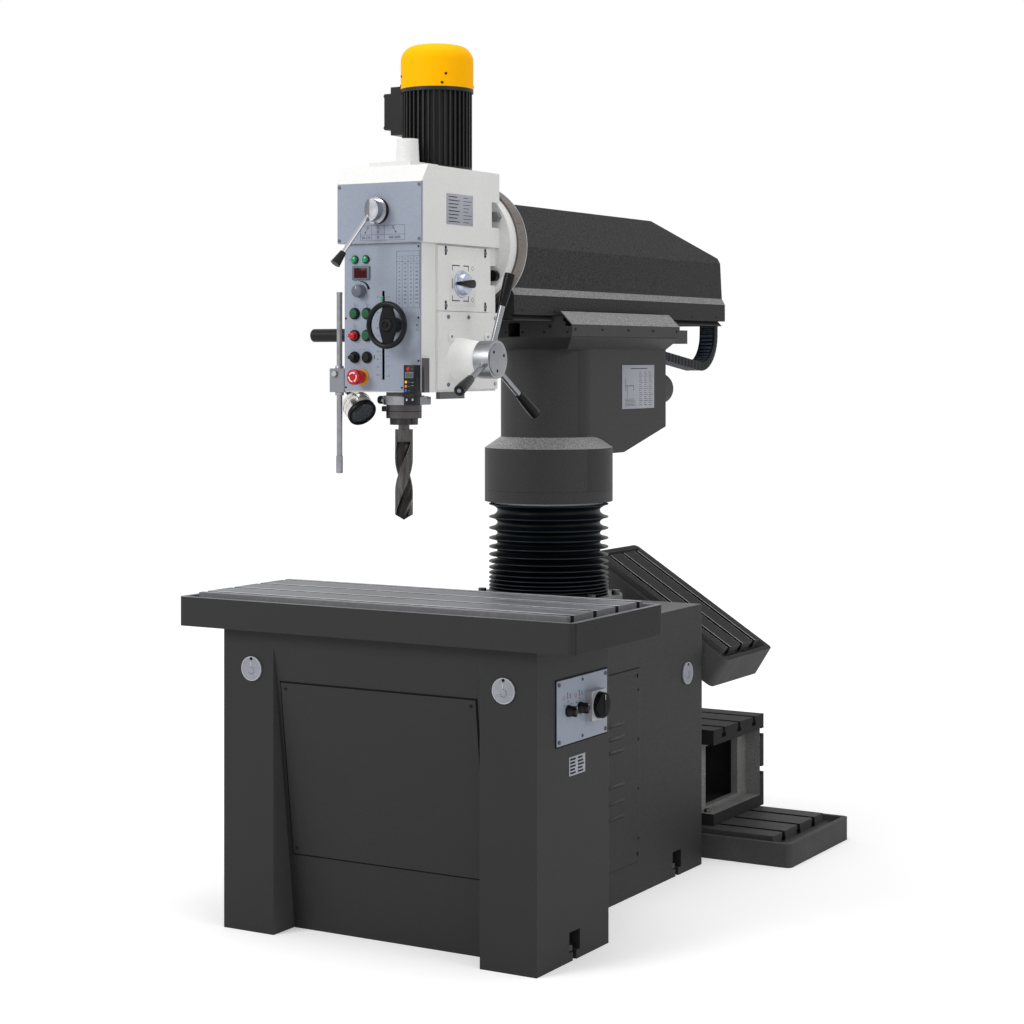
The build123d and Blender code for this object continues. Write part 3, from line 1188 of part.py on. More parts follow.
def depth_gauge():
    back = PANEL_FACE - 3
    front = back - READER_DEPTH
    reader = block(READER_LEFT, READER_RIGHT, front, back, READER_LOW, READER_HIGH)
    arm_high = CLAMP_RING_HIGH - 2
    arm = block(READER_ARM_LEFT, READER_ARM_RIGHT, back, READER_ARM_REAR, READER_LOW, arm_high)
    reader += arm - post(CLAMP_RING_RADIUS + SEAT_GAP, 0, SPINDLE_Y, READER_LOW - 1, arm_high + 1)
    half = SLOT_HALF - 1
    edge = SPINDLE_Y - sqrt(QUILL_RADIUS ** 2 - (SLOT_X + half) ** 2)
    pointer = block(SLOT_X - half, SLOT_X + half, PANEL_FACE - 5, edge, POINTER_Z - 4, POINTER_Z + 4)
    return reader, pointer - post(QUILL_RADIUS, 0, SPINDLE_Y, POINTER_Z - 5, POINTER_Z + 5)


save("depth_gauge", *depth_gauge())


# Spindle with its nose and splined end, and the twist drill in its socket
def spindle():
    body = post(SPINDLE_RADIUS, 0, SPINDLE_Y, QUILL_LOW, QUILL_TOP)
    body += post(NOSE_RADIUS, 0, SPINDLE_Y, NOSE_LOW, QUILL_LOW - SEAT_GAP)
    body += post(SPINDLE_RADIUS, 0, SPINDLE_Y, NOSE_LOW, QUILL_LOW)
    body += post(SPLINE_RADIUS, 0, SPINDLE_Y, QUILL_TOP, SPLINE_TOP)
    return body - post(SHANK_RADIUS, 0, SPINDLE_Y, NOSE_LOW - 1, NOSE_LOW + SOCKET_DEPTH)


save("spindle", spindle())


def drill():
    """Two-flute twist drill: the web section turns as it climbs."""
    flute = DRILL_RADIUS
    section = Circle(DRILL_RADIUS)
    for side in (-1, 1):
        section -= Pos(0, side * (flute + DRILL_WEB)) * Circle(flute)
    twist_top = DRILL_TOP - DRILL_PLAIN
    climb = (0, 0, twist_top - DRILL_TIP)
    twist = Solid.extrude_linear_with_rotation(section.faces()[0], (0, 0, 0), climb, 360 * DRILL_TURNS)
    point = DRILL_RADIUS / tan(radians(59))
    tip = turned([(0, DRILL_TIP), (DRILL_RADIUS + 2, DRILL_TIP + point + 2 / tan(radians(59))),
                  (DRILL_RADIUS + 2, twist_top), (0, twist_top)], 0, SPINDLE_Y)
    body = (Pos(0, SPINDLE_Y, DRILL_TIP) * twist) & tip
    body += post(DRILL_RADIUS, 0, SPINDLE_Y, twist_top, DRILL_TOP)
    return body + post(SHANK_RADIUS, 0, SPINDLE_Y, DRILL_TOP, NOSE_LOW + SOCKET_DEPTH)


save("drill", drill())


# Geared drive: motor pinion, layshaft with two gears, gear sleeve on the spline
def spindle_gear():
    body = post(SLEEVE_GEAR_RADIUS, 0, SPINDLE_Y, HEAD_SPLIT, SLEEVE_GEAR_TOP)
    body += post(SLEEVE_GEAR_RADIUS + 6, 0, SPINDLE_Y, GEARBOX_FLOOR + RUN_FIT, GEARBOX_FLOOR + 6)
    body += spur_gear(SPINDLE_TEETH, GEAR_MODULE, 90, 0, SPINDLE_Y, LOW_GEAR_Z, GEAR_FACE)
    return body - post(SPLINE_RADIUS + RUN_FIT, 0, SPINDLE_Y, HEAD_SPLIT - 1, SLEEVE_GEAR_TOP + 1)


save("spindle_gear", spindle_gear())
save("layshaft", post(LAYSHAFT_RADIUS, 0, LAY_Y, HEAD_SPLIT + 1 + SEAT_GAP, HEAD_TOP - 5 - SEAT_GAP)
     + spur_gear(LAY_TEETH, GEAR_MODULE, 270 + 180 / LAY_TEETH, 0, LAY_Y, LOW_GEAR_Z, GEAR_FACE)
     + spur_gear(WHEEL_TEETH, GEAR_MODULE, 90, 0, LAY_Y, HIGH_GEAR_Z, GEAR_FACE))
FAN_Z = MOTOR_TOP + 24
save("motor_rotor", post(MOTOR_SHAFT_RADIUS, 0, MOTOR_Y, HIGH_GEAR_Z - 6, FAN_Z + 18)
     + spur_gear(MOTOR_TEETH, GEAR_MODULE, 270 + 180 / MOTOR_TEETH, 0, MOTOR_Y, HIGH_GEAR_Z, GEAR_FACE)
     + post(MOTOR_BORE - 12, 0, MOTOR_Y, HEAD_TOP + 50, MOTOR_TOP - 50)
     + post(FAN_RADIUS, 0, MOTOR_Y, FAN_Z, FAN_Z + 14))


# Motor frame with cooling fins, terminal box, fan cover and spindle cap
def motor_frame():
    low = HEAD_TOP + MOTOR_FLANGE
    high = MOTOR_TOP - END_SHIELD
    section = Circle(MOTOR_CORE_RADIUS)
    for index in range(MOTOR_FINS):
        fin = Pos(MOTOR_FIN_RADIUS / 2, 0) * Rectangle(MOTOR_FIN_RADIUS, FIN_THICK)
        section += Rot(0, 0, 360 * index / MOTOR_FINS) * fin
    body = Pos(0, MOTOR_Y, low) * extrude(section, high - low)
    body += post(MOTOR_FLANGE_RADIUS, 0, MOTOR_Y, HEAD_TOP, low)
    body += post(FAN_COVER_RADIUS, 0, MOTOR_Y, high, MOTOR_TOP)
    body -= post(MOTOR_BORE, 0, MOTOR_Y, low, high)
    return body - post(MOTOR_SHAFT_RADIUS + RUN_FIT, 0, MOTOR_Y, HEAD_TOP - 1, MOTOR_TOP + 1)


def terminal_box():
    low = TERMINAL_LOW
    high = TERMINAL_HIGH
    front = MOTOR_Y - TERMINAL_HALF
    rear = MOTOR_Y + TERMINAL_HALF
    body = block(TERMINAL_LEFT, -MOTOR_CORE_RADIUS + 16, front, rear, low, high)
    body += block(TERMINAL_LEFT - TERMINAL_LID, TERMINAL_LEFT, front + 8, rear - 8, low + 16, high - 16)
    body -= post(MOTOR_FIN_RADIUS, 0, MOTOR_Y, low - 1, high + 1)
    shield = MOTOR_TOP - END_SHIELD - SEAT_GAP
    return body - post(FAN_COVER_RADIUS + SEAT_GAP, 0, MOTOR_Y, shield, high + 1)


save("motor_frame", motor_frame(), terminal_box())


def fan_cover():
    def shell(radius, top, rounding):
        body = post(radius, 0, MOTOR_Y, MOTOR_TOP, top)
        return fillet(body.edges().sort_by(Axis.Z)[-1], rounding)
    outer = shell(FAN_COVER_RADIUS, FAN_COVER_TOP, FAN_COVER_ROUND)
    return outer - shell(FAN_COVER_RADIUS - SHEET, FAN_COVER_TOP - SHEET, FAN_COVER_ROUND - SHEET)


save("fan_cover", fan_cover())


def spindle_cap():
    low = HEAD_TOP + CAP_PLATE
    body = block(CAP_X - CAP_PLATE_HALF, CAP_X + CAP_PLATE_HALF, CAP_PLATE_FRONT, CAP_PLATE_REAR,
                 HEAD_TOP, low)
    cone = [(0, low), (CAP_RADIUS, low), (CAP_TOP_RADIUS, CAP_TOP), (0, CAP_TOP)]
    body += turned(cone, CAP_X, SPINDLE_Y + CAP_BEHIND_SPINDLE)
    return body - post(SPLINE_RADIUS + 2, 0, SPINDLE_Y, HEAD_TOP - 1, CAP_TOP - CAP_WALL)


save("spindle_cap", spindle_cap())


# Head brackets: clamp block of the guard rod, beam behind the reader, lamp bracket, plate below
def head_brackets():
    left = GUARD_ROD_X - GUARD_ROD_RADIUS - 10
    low = ROD_CLAMP_LOW
    high = ROD_CLAMP_HIGH
    clamp = block(left, -HEAD_HALF, GUARD_ROD_Y - 20, GUARD_ROD_Y + 20, low, high)
    yield clamp - post(GUARD_ROD_RADIUS + RUN_FIT, GUARD_ROD_X, GUARD_ROD_Y, low - 1, high + 1)
    yield block(HEAD_HALF, HEAD_HALF + 8, HEAD_FRONT, HEAD_FRONT + BEAM_DEPTH, BEAM_LOW, BEAM_HIGH)
    x, y, z = LAMP_PIVOT
    arm_low = z + LAMP_BALL + SEAT_GAP
    yield block(x - LAMP_BALL, -HEAD_HALF, y - LAMP_BALL, y + LAMP_BALL, arm_low, HEAD_LOW + 40)
    plate_low = HEAD_LOW - UNDER_PLATE
    yield block(UNDER_PLATE_LEFT, HEAD_HALF, UNDER_PLATE_FRONT, UNDER_PLATE_REAR, plate_low, HEAD_LOW)


save("head_brackets", *head_brackets())
side_handle = rod_x(HANDLE_RADIUS, HANDLE_END_X, -HEAD_HALF, HANDLE_Y, HANDLE_Z)
save("side_handle", fillet(side_handle.edges().sort_by(Axis.X)[0], HANDLE_RADIUS / 3))
save("guard_rod", post(GUARD_ROD_RADIUS, GUARD_ROD_X, GUARD_ROD_Y, GUARD_ROD_LOW, GUARD_ROD_HIGH))


def work_lamp():
    aim = Vector(*LAMP_AIM).normalized()
    plane = Plane(origin=LAMP_PIVOT, z_dir=aim)
    start = LAMP_NECK + LAMP_BALL
    body = plane * Pos(0, 0, start + LAMP_LENGTH / 2) * Cylinder(LAMP_BODY_RADIUS, LAMP_LENGTH)
    neck = plane * Pos(0, 0, start / 2) * Cylinder(7, start)
    return body + neck + Pos(*LAMP_PIVOT) * Sphere(LAMP_BALL)


save("work_lamp", work_lamp())


# Table behind the base that tilts on a trunnion
def tilt_table():
    body = tray_table(TILT_HALF, TILT_FRONT, TILT_REAR, TILT_HEIGHT, TILT_THICKNESS, TILT_SLOT_COUNT,
                      TILT_SLOT_PITCH)
    under = TILT_HEIGHT - TILT_THICKNESS
    inner = TILT_HALF - TILT_WALL
    lug_front = BRACKET_FACE + SEAT_GAP
    lug_back = LUG_BACK
    body -= block(-inner, inner, lug_back, TILT_REAR - TILT_WALL, under - 1, TILT_HEIGHT - TILT_ROOF)
    half = LUG_RADIUS
    web = [(-half, 0), (half, 0), (1.6 * half, under + 4), (-1.6 * half, under + 4)]
    body += prism_y(web, lug_front, lug_back)
    body += rod_y(half, 0, lug_front, lug_back, 0)
    body -= rod_y(PIVOT_RADIUS + RUN_FIT, 0, lug_front - 1, lug_back + 1, 0)
    return Pos(0, 0, TILT_PIVOT_Z) * Rot(0, TILT_DEGREES, 0) * body


save("tilt_table", tilt_table())
save("tilt_bracket",
     block(-BRACKET_HALF, BRACKET_HALF, REAR_END, BRACKET_FACE, BRACKET_LOW, BRACKET_HIGH)
     + rod_y(PIVOT_RADIUS, 0, REAR_END, LUG_BACK + 22, TILT_PIVOT_Z))

# Floor plate and the box table that stands on it
save("floor_plate", tray_table(FLOOR_HALF, FLOOR_FRONT, FLOOR_REAR, FLOOR_THICKNESS, FLOOR_THICKNESS,
                               FLOOR_SLOT_COUNT, FLOOR_SLOT_PITCH, FLOOR_END_CHANNEL))
FLOOR_TOP = FLOOR_THICKNESS + SLAB_RISE


def box_table():
    top_low = BOX_TOP - BOX_SLAB
    flange_top = FLOOR_TOP + BOX_FLANGE
    body = block(-BOX_HALF, BOX_HALF, BOX_FRONT, BOX_REAR, top_low, BOX_TOP)
    body += block(-BOX_HALF, BOX_HALF, BOX_FRONT, BOX_REAR, FLOOR_TOP, flange_top)
    end = BOX_HALF - BOX_END_INSET
    body += block(-end, end, BOX_FRONT, BOX_REAR, flange_top, top_low)
    body += block(-BOX_HALF, BOX_HALF, BOX_REAR - BOX_REAR_SLAB, BOX_REAR, flange_top, top_low)
    inner = end - BOX_WALL / 2
    room_rear = BOX_REAR - BOX_WALL - 10
    body -= block(-inner, inner, BOX_FRONT + BOX_WALL, room_rear, flange_top, top_low)
    window_front = BOX_FRONT + WINDOW_MARGIN
    window_rear = BOX_REAR - BOX_WALL - WINDOW_MARGIN
    body -= block(-end - 1, end + 1, window_front, window_rear, flange_top + 10, top_low - 14)
    depth = CHANNEL_DEPTH + SLAB_RISE
    across = BOX_HALF + 1
    for cutter in t_slots(across, (BOX_FRONT + BOX_REAR) / 2, BOX_SLOT_PITCH, BOX_SLOT_COUNT, BOX_TOP, depth):
        body -= cutter
    deep = BOX_REAR - depth
    for z in (BOX_TOP - BOX_UPPER_SLOT, FLOOR_TOP + BOX_LOWER_SLOT):
        body -= block(-across, across, deep, BOX_REAR + 1, z - SLOT_NECK / 2, z + SLOT_NECK / 2)
        body -= block(-across, across, deep, deep + SLOT_WIDE_HEIGHT, z - SLOT_WIDE / 2, z + SLOT_WIDE / 2)
    return body


save("box_table", box_table())


# Bolts and screws of the base
def base_fasteners():
    for side, face, y in pocket_places():
        x = side * (face - POCKET_DEPTH / 2)
        bolt = post(ANCHOR_RADIUS, x, y, 0, POCKET_SILL + 30)
        yield bolt + Pos(x, y, POCKET_SILL) * hexagon(2 * ANCHOR_RADIUS, 14)
    for index in range(FLANGE_BOLT_COUNT):
        turn = 2 * pi * (index + 0.5) / FLANGE_BOLT_COUNT
        x = FLANGE_BOLT_CIRCLE * cos(turn)
        y = FLANGE_BOLT_CIRCLE * sin(turn)
        yield post(12, x, y, GUIDE_TOP, GUIDE_TOP + 14)
    for z in (DOOR_LOW + 20, DOOR_HIGH - 20):
        for y in (DOOR_FRONT + 20, DOOR_REAR - 12):
            yield rod_x(SCREW_RADIUS, REAR_HALF + SHEET, REAR_HALF + SHEET + SCREW_HEAD, y, z)
    for z in (PANEL_LOW + 10, PANEL_HIGH - 10):
        for y in (PANEL_FRONT + 10, PANEL_REAR - 10):
            yield rod_x(SCREW_RADIUS, PANEL_X, PANEL_X + SCREW_HEAD, y, z)
    for z in (BRACKET_LOW + 30, BRACKET_HIGH - 30):
        for x in (-BRACKET_HALF + 24, BRACKET_HALF - 24):
            yield Pos(x, BRACKET_FACE, z) * Rot(-90, 0, 0) * hexagon(16, 12)
    nut = hexagon(44, 18) - Cylinder(PIVOT_RADIUS, 60)
    yield Pos(0, LUG_BACK + SEAT_GAP, TILT_PIVOT_Z) * Rot(-90, 0, 0) * nut


save("base_fasteners", *base_fasteners())


# Bolts and screws of the head: swivel clamp nuts, lock knob, panel and cover screws
def head_fasteners():
    x, z = around_swivel(CLAMP_BOLT_ANGLE)
    for side in (-1, 1):
        stud = rod_y(8, side * x, HEAD_REAR, SWIVEL_FACE + CLAMP_GROOVE_DEPTH - 2, z)
        yield stud + Pos(side * x, HEAD_REAR, z) * Rot(90, 0, 0) * hexagon(15, 14)
    x, z = around_swivel(LOCK_KNOB_ANGLE)
    knob = rod_y(LOCK_KNOB_RADIUS, x, HEAD_REAR - LOCK_KNOB_LENGTH, HEAD_REAR, z)
    yield knob + rod_y(6, x, HEAD_REAR, SWIVEL_FACE - 2, z)
    edge = GEARBOX_HALF - 8
    for x in (-edge, edge):
        for z in (HEAD_SPLIT + 8, BROW_LOW - 8):
            yield rod_y(SCREW_RADIUS - 1, x, GEARBOX_FACE - 2, GEARBOX_FACE, z)
    for z in (FEED_PLATE_LOW + 14, FEED_PLATE_SPLIT - 14):
        for y in (FEED_PLATE_FRONT + 50, (FEED_PLATE_FRONT + HEAD_REAR) / 2, HEAD_REAR - 14):
            yield rod_x(SCREW_RADIUS, SIDE_FACE, SIDE_FACE + SCREW_HEAD, y, z)
    for z in (FEED_PLATE_SPLIT + 15, FEED_PLATE_TOP - 12):
        for y in (FEED_PLATE_FRONT + 38, FEED_UPPER_REAR - 28):
            yield rod_x(SCREW_RADIUS, SIDE_FACE, SIDE_FACE + SCREW_HEAD, y, z)


save("head_fasteners", *head_fasteners())
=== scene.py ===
from itertools import product
from math import cos, hypot, pi, radians, sin

import bmesh
import bpy
from mathutils import Matrix, Vector


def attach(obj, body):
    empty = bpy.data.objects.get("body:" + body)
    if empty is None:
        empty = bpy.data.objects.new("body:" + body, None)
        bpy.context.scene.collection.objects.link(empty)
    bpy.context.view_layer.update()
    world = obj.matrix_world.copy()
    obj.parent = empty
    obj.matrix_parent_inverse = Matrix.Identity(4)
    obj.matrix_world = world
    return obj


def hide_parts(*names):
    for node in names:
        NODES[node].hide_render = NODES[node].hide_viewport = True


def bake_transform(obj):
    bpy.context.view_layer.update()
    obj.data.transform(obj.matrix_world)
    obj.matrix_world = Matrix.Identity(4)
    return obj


# Universal drilling machine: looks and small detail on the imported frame.
# Lengths of the part are millimetres in the frame's axes: x right, -y front, z up.
# Camera, lights and floor are in metres.

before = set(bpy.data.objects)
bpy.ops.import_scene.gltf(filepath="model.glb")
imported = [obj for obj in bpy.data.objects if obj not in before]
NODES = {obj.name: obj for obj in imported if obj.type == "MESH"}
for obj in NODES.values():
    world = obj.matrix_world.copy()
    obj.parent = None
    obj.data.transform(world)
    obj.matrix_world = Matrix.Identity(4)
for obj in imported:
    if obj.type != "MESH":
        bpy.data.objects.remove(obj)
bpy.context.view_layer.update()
MM = 0.001
X, Y, Z = Vector((1, 0, 0)), Vector((0, 1, 0)), Vector((0, 0, 1))
HERE = Vector((0, 0, 0))

# Places that several details share
SPINDLE_Y = -774
MOTOR_Y = -611.5
UPPER_FACE, LOWER_FACE = -892.0, -878.0  # front panels of the head
BUTTON_X, BUTTON_Z = (-83, -45), (1634, 1577, 1521)
KNOB_X, KNOB_Z = -65, 1692
STOP_X, STOP_Z = -62, 1470
PILOT = Vector((216, -701, 1515))  # where the three levers meet
BASE_SIDE, SWITCH_FACE, SWITCH_Z, MAIN_SWITCH_Y = 480, 483.0, 634, -636
SMALL_SWITCHES = {"left_switch": -762, "right_switch": -700}
GUIDE_TOP, COLLAR_LOW = 831.3, 1102.7  # ends of the bellows
TILTED = Matrix.Translation((0, 0, 554)) @ Matrix.Rotation(radians(32.3), 4, "Y")
LEVEL = TILTED.inverted()


# Node trees

def grey(level):
    return (level, level, level)


def shade(colour, factor):
    return tuple(min(1.0, c * factor) for c in colour)


class Nodes:
    """A node tree under construction."""

    def __init__(self, owner, clear=True):
        owner.use_nodes = True
        self.tree = owner.node_tree
        if clear:
            self.tree.nodes.clear()

    def put(self, socket, value):
        if isinstance(value, bpy.types.NodeSocket):
            self.tree.links.new(value, socket)
        elif socket.type == "RGBA":
            socket.default_value = (*value, 1)
        else:
            socket.default_value = value

    def add(self, kind, *numbered, **named):
        """New node: its inputs by number or by capital name, its settings by small name."""
        node = self.tree.nodes.new("ShaderNode" + kind)
        for key, value in named.items():
            if key[0].islower():
                setattr(node, key, value)
            else:
                self.put(node.inputs[key.replace("_", " ")], value)
        for socket, value in zip(node.inputs, numbered):
            self.put(socket, value)
        return node.outputs

    def place(self):
        return self.add("TexCoord")["Object"]

    def noise(self, scale, detail=3.0, rough=0.55, vector=None):
        vector = vector or self.place()
        return self.add("TexNoise", Vector=vector, Scale=scale, Detail=detail, Roughness=rough)["Fac"]

    def stretch(self, scale):
        return self.add("Mapping", Vector=self.place(), Scale=scale)[0]

    def span(self, value, low, high, to_low=0.0, to_high=1.0):
        return self.add("MapRange", Value=value, From_Min=low, From_Max=high, To_Min=to_low,
                        To_Max=to_high)[0]

    def math(self, kind, a, b):
        return self.add("Math", a, b, operation=kind)[0]

    def mix(self, factor, a, b):
        node = self.tree.nodes.new("ShaderNodeMix")
        node.data_type = "RGBA"
        colours = [socket for socket in node.inputs if socket.type == "RGBA"]
        for socket, value in zip((node.inputs["Factor"], *colours), (factor, a, b)):
            self.put(socket, value)
        return next(socket for socket in node.outputs if socket.type == "RGBA")

    def normal(self):
        return self.add("NewGeometry")["Normal"]

    def round_edges(self, radius):
        return self.add("Bevel", samples=4, Radius=radius * MM)[0]

    def edge_mask(self, radius, amount=0.8):
        """1 along the sharp edges, broken up by noise."""
        dot = self.add("VectorMath", self.round_edges(radius), self.normal(),
                       operation="DOT_PRODUCT")["Value"]
        broken = self.span(self.noise(55), 0.35, 0.75, 0.15, amount)
        return self.math("MULTIPLY", self.span(dot, 0.97, 0.80), broken)

    def seen(self):
        """1 for what the camera, a mirror or a glass sees."""
        path = self.add("LightPath")
        straight = self.math("MAXIMUM", path["Is Camera Ray"], path["Is Glossy Ray"])
        return self.math("MAXIMUM", straight, path["Is Transmission Ray"])


class Look(Nodes):
    """A material under construction."""

    def __init__(self, name, colour=None):
        self.material = bpy.data.materials.new(name)
        super().__init__(self.material, clear=False)
        self.shader = self.tree.nodes["Principled BSDF"]
        self.colour = self.tone = colour

    def set(self, **inputs):
        for key, value in inputs.items():
            self.put(self.shader.inputs[key.replace("_", " ")], value)
        return self.material

    def layer(self, field, low, high, dark, light=None):
        """Shade the colour between dark and light, or between dark and the tone so far."""
        light = shade(self.colour, light) if light else self.tone
        self.tone = self.mix(self.span(field, low, high), shade(self.colour, dark), light)

    def edges(self, colour, radius, amount=0.8):
        self.tone = self.mix(self.edge_mask(radius, amount), self.tone, colour)

    def finish(self, grain, low, high, relief, depth, radius, **constants):
        """Roughness between low and high, and relief, both from one grain, on rounded edges."""
        rough = self.span(grain, 0.3, 0.7, low, high)
        bump = self.add("Bump", Height=grain, Strength=relief, Distance=depth,
                        Normal=self.round_edges(radius))[0]
        return self.set(Base_Color=self.tone, Roughness=rough, Normal=bump, **constants)


# Camera, light and floor

def new_object(name, data):
    thing = bpy.data.objects.new(name, data)
    bpy.context.scene.collection.objects.link(thing)
    return thing


def build_camera():
    data = bpy.data.cameras.new("camera")
    data.sensor_width = 36
    data.lens = 76.6
    data.shift_y = -0.1507
    data.clip_end = 100
    camera = new_object("camera", data)
    camera.location = (3.1147, -5.5538, 1.520)
    camera.rotation_euler = (radians(90), 0, radians(30.25))
    bpy.context.scene.camera = camera


def area_light(name, place, target, size, power):
    data = bpy.data.lights.new(name, "AREA")
    data.shape = "DISK"
    data.size = size
    data.energy = power
    light = new_object(name, data)
    light.location = place
    light.rotation_euler = (Vector(target) - Vector(place)).to_track_quat("-Z", "Y").to_euler()


def build_world():
    world = bpy.data.worlds.new("studio")
    bpy.context.scene.world = world
    nodes = Nodes(world)
    light, white = [nodes.add("Background", Color=grey(1), Strength=s)[0] for s in (0.5, 1.0)]
    nodes.add("OutputWorld", Surface=nodes.add("MixShader", nodes.seen(), light, white)[0])


def build_floor():
    """White floor that catches the shadow and glows more with distance."""
    half = 40
    corners = [(-half, -half, 0), (half, -half, 0), (half, half, 0), (-half, half, 0)]
    mesh = bpy.data.meshes.new("floor")
    mesh.from_pydata(corners, [], [(0, 1, 2, 3)])
    floor = new_object("floor", mesh)
    material = bpy.data.materials.new("floor_white")
    mesh.materials.append(material)
    nodes = Nodes(material)
    matt = nodes.add("BsdfDiffuse", Color=grey(0.9))[0]
    distance = nodes.add("VectorMath", nodes.place(), operation="LENGTH")["Value"]
    glow = nodes.add("Emission", Strength=nodes.span(distance, 1.0, 6.0, 0.3, 0.62))[0]
    lit = nodes.add("AddShader", matt, glow)[0]
    nodes.add("OutputMaterial", Surface=nodes.add("MixShader", nodes.seen(), matt, lit)[0])


build_camera()
build_world()
build_floor()
area_light("key", (-2.6, -6.2, 4.6), (0, -0.3, 1.3), 3.2, 215)
area_light("right", (6.0, -1.6, 3.8), (0, 0, 1.2), 3.0, 52)
area_light("top", (0.5, -0.5, 6.2), (0, 0, 1.0), 4.0, 120)
bpy.context.scene.view_settings.view_transform = "Standard"


# Materials

def paint(name, colour, rough=0.5, grain=300, relief=0.35, speck=0.12, wear=None, edge=2.5,
          specular=0.2, dust_and_sheen=None, glow=None):
    """Textured paint: broad tone, orange peel, worn edges, dust and painted sheen on slopes facing up,
    painted glow.
    """
    look = Look(name, colour)
    fine = look.noise(grain, 2)
    look.layer(look.noise(5, 4), 0.3, 0.7, 0.94, 1.06)
    look.layer(fine, 0.35, 0.7, 1 - speck)
    # Lighter speckle on slopes that face up: partly dust, partly painted sheen where light from above falls
    # on them.
    if dust_and_sheen:
        slope = look.add("SeparateXYZ", look.normal())["Z"]
        mask = look.math("MULTIPLY", look.span(slope, 0.25, 0.5), look.span(slope, 0.98, 0.9))
        specks = look.span(look.noise(240, 3, 0.7), 0.38, 0.68)
        dust_and_sheen_tone = look.mix(specks, grey(dust_and_sheen * 0.45), grey(dust_and_sheen * 1.5))
        look.tone = look.mix(mask, look.tone, dust_and_sheen_tone)
    if wear:
        look.edges(wear, edge)
    if glow:
        look.set(Emission_Color=colour, Emission_Strength=glow)
    return look.finish(fine, rough - 0.06, rough + 0.1, relief, 0.0012, 2.0, Specular_IOR_Level=specular)


def metal(name, colour, rough, brush, streak=0.18, spot=0.1, wear=None):
    """Bare metal with brushed streaks and stains."""
    look = Look(name, colour)
    lines = look.noise(1.0, 4, 0.65, look.stretch(brush))
    look.layer(lines, 0.3, 0.7, 1 - streak, 1 + streak)
    look.layer(look.noise(18, 4), 0.35, 0.7, 1 - spot)
    if wear:
        look.edges(wear, 1.2)
    return look.finish(lines, rough - 0.05, rough + 0.1, 0.08, 0.0004, 0.8, Metallic=1.0)


def plastic(name, colour, rough, grain=700, relief=0.1, specular=0.5):
    """Moulded plastic with a fine grain and slightly lighter edges."""
    look = Look(name, colour)
    fine = look.noise(grain, 2)
    look.layer(look.noise(30, 3), 0.3, 0.7, 0.9, 1.1)
    look.edges(shade([c + 0.02 for c in colour], 1.3), 0.8, 0.4)
    return look.finish(fine, rough - 0.05, rough + 0.08, relief, 0.0003, 0.8, Specular_IOR_Level=specular)


def planed(name, colour, line, contrast, metallic, rough, streak, specular=0.18):
    """Planed or scraped iron with a bright line along its edges, partly wear and partly painted highlight."""
    look = Look(name, colour)
    marks = look.noise(1.0, 5, 0.7, look.stretch(streak))
    look.layer(marks, 0.32, 0.68, 1 - contrast, 1 + contrast)
    look.layer(look.noise(7, 4), 0.35, 0.7, 0.85)
    look.edges(line, 2.6, 1.0)
    return look.finish(marks, rough - 0.06, rough + 0.1, 0.2, 0.0008, 1.2, Metallic=metallic,
                       Specular_IOR_Level=specular)


def cast(name, colour, contrast, scale=260, rough=0.7, patches=True):
    """Rough cast surface with a coarse speckle."""
    look = Look(name, colour)
    specks = look.noise(scale, 3, 0.7)
    look.layer(specks, 0.36, 0.66, 1 - contrast, 1 + contrast)
    if patches:
        look.layer(look.noise(9, 4), 0.35, 0.7, 0.8)
    look.edges(shade(colour, 2.0), 2.0)
    return look.finish(specks, rough, rough + 0.15, 0.4, 0.0012, 1.5, Specular_IOR_Level=0.12)


def glow_screen(name, colour, strength):
    look = Look(name)
    rows = look.span(look.noise(1.0, 1, 0.5, look.stretch((900, 900, 2600))), 0.35, 0.65)
    return look.set(Base_Color=look.mix(rows, shade(colour, 0.7), shade(colour, 1.2)),
                    Roughness=look.span(rows, 0, 1, 0.12, 0.2), Specular_IOR_Level=0.1,
                    Emission_Color=colour, Emission_Strength=strength)


def clear_glass(name):
    look = Look(name)
    broad = look.span(look.noise(120), 0.3, 0.7)
    return look.set(Base_Color=look.mix(broad, (0.03, 0.032, 0.04), (0.06, 0.065, 0.075)),
                    Roughness=look.span(look.noise(300), 0.3, 0.7, 0.04, 0.1), Coat_Weight=1.0)


DARK = (0.024, 0.024, 0.0245)
WHITE = (0.82, 0.82, 0.81)
PANEL = (0.315, 0.355, 0.435)

dark_paint = paint("dark_paint", DARK, 0.55, wear=shade(DARK, 2.4), dust_and_sheen=0.16)
# Darker copy of the dark paint for the work table's sideways faces: painted shade.
side_painted_shade = paint("side_painted_shade", shade(DARK, 0.75), 0.6, wear=shade(DARK, 2.0), specular=0.15)
smooth_dark = paint("smooth_dark", DARK, relief=0.3, speck=0.1)
# Lighter copy of the dark paint for the side walls of the knee recess: painted light in their shade.
reveal_painted_light = paint("reveal_painted_light", shade(DARK, 2.6), 0.6, relief=0.3, speck=0.1, specular=0.15)
# Lighter copy of the dark paint for the saddle, column collar, clamp unit and slide guards: painted light
# that fills the head's shadow.
arm_painted_light = paint("arm_painted_light", shade(DARK, 2.0), 0.55, 240, 0.6, 0.25, shade(DARK, 2.6))
# Darker copy of it for the saddle's sideways faces: painted shade.
arm_side_painted_shade = paint("arm_side_painted_shade", shade(DARK, 1.55), 0.55, 240, 0.6, 0.25, shade(DARK, 2.4))
guard_paint = paint("guard_paint", shade(DARK, 1.1), 0.5, 260, 0.5, 0.3, grey(0.4), edge=2.0,
                    specular=0.25, dust_and_sheen=0.24)
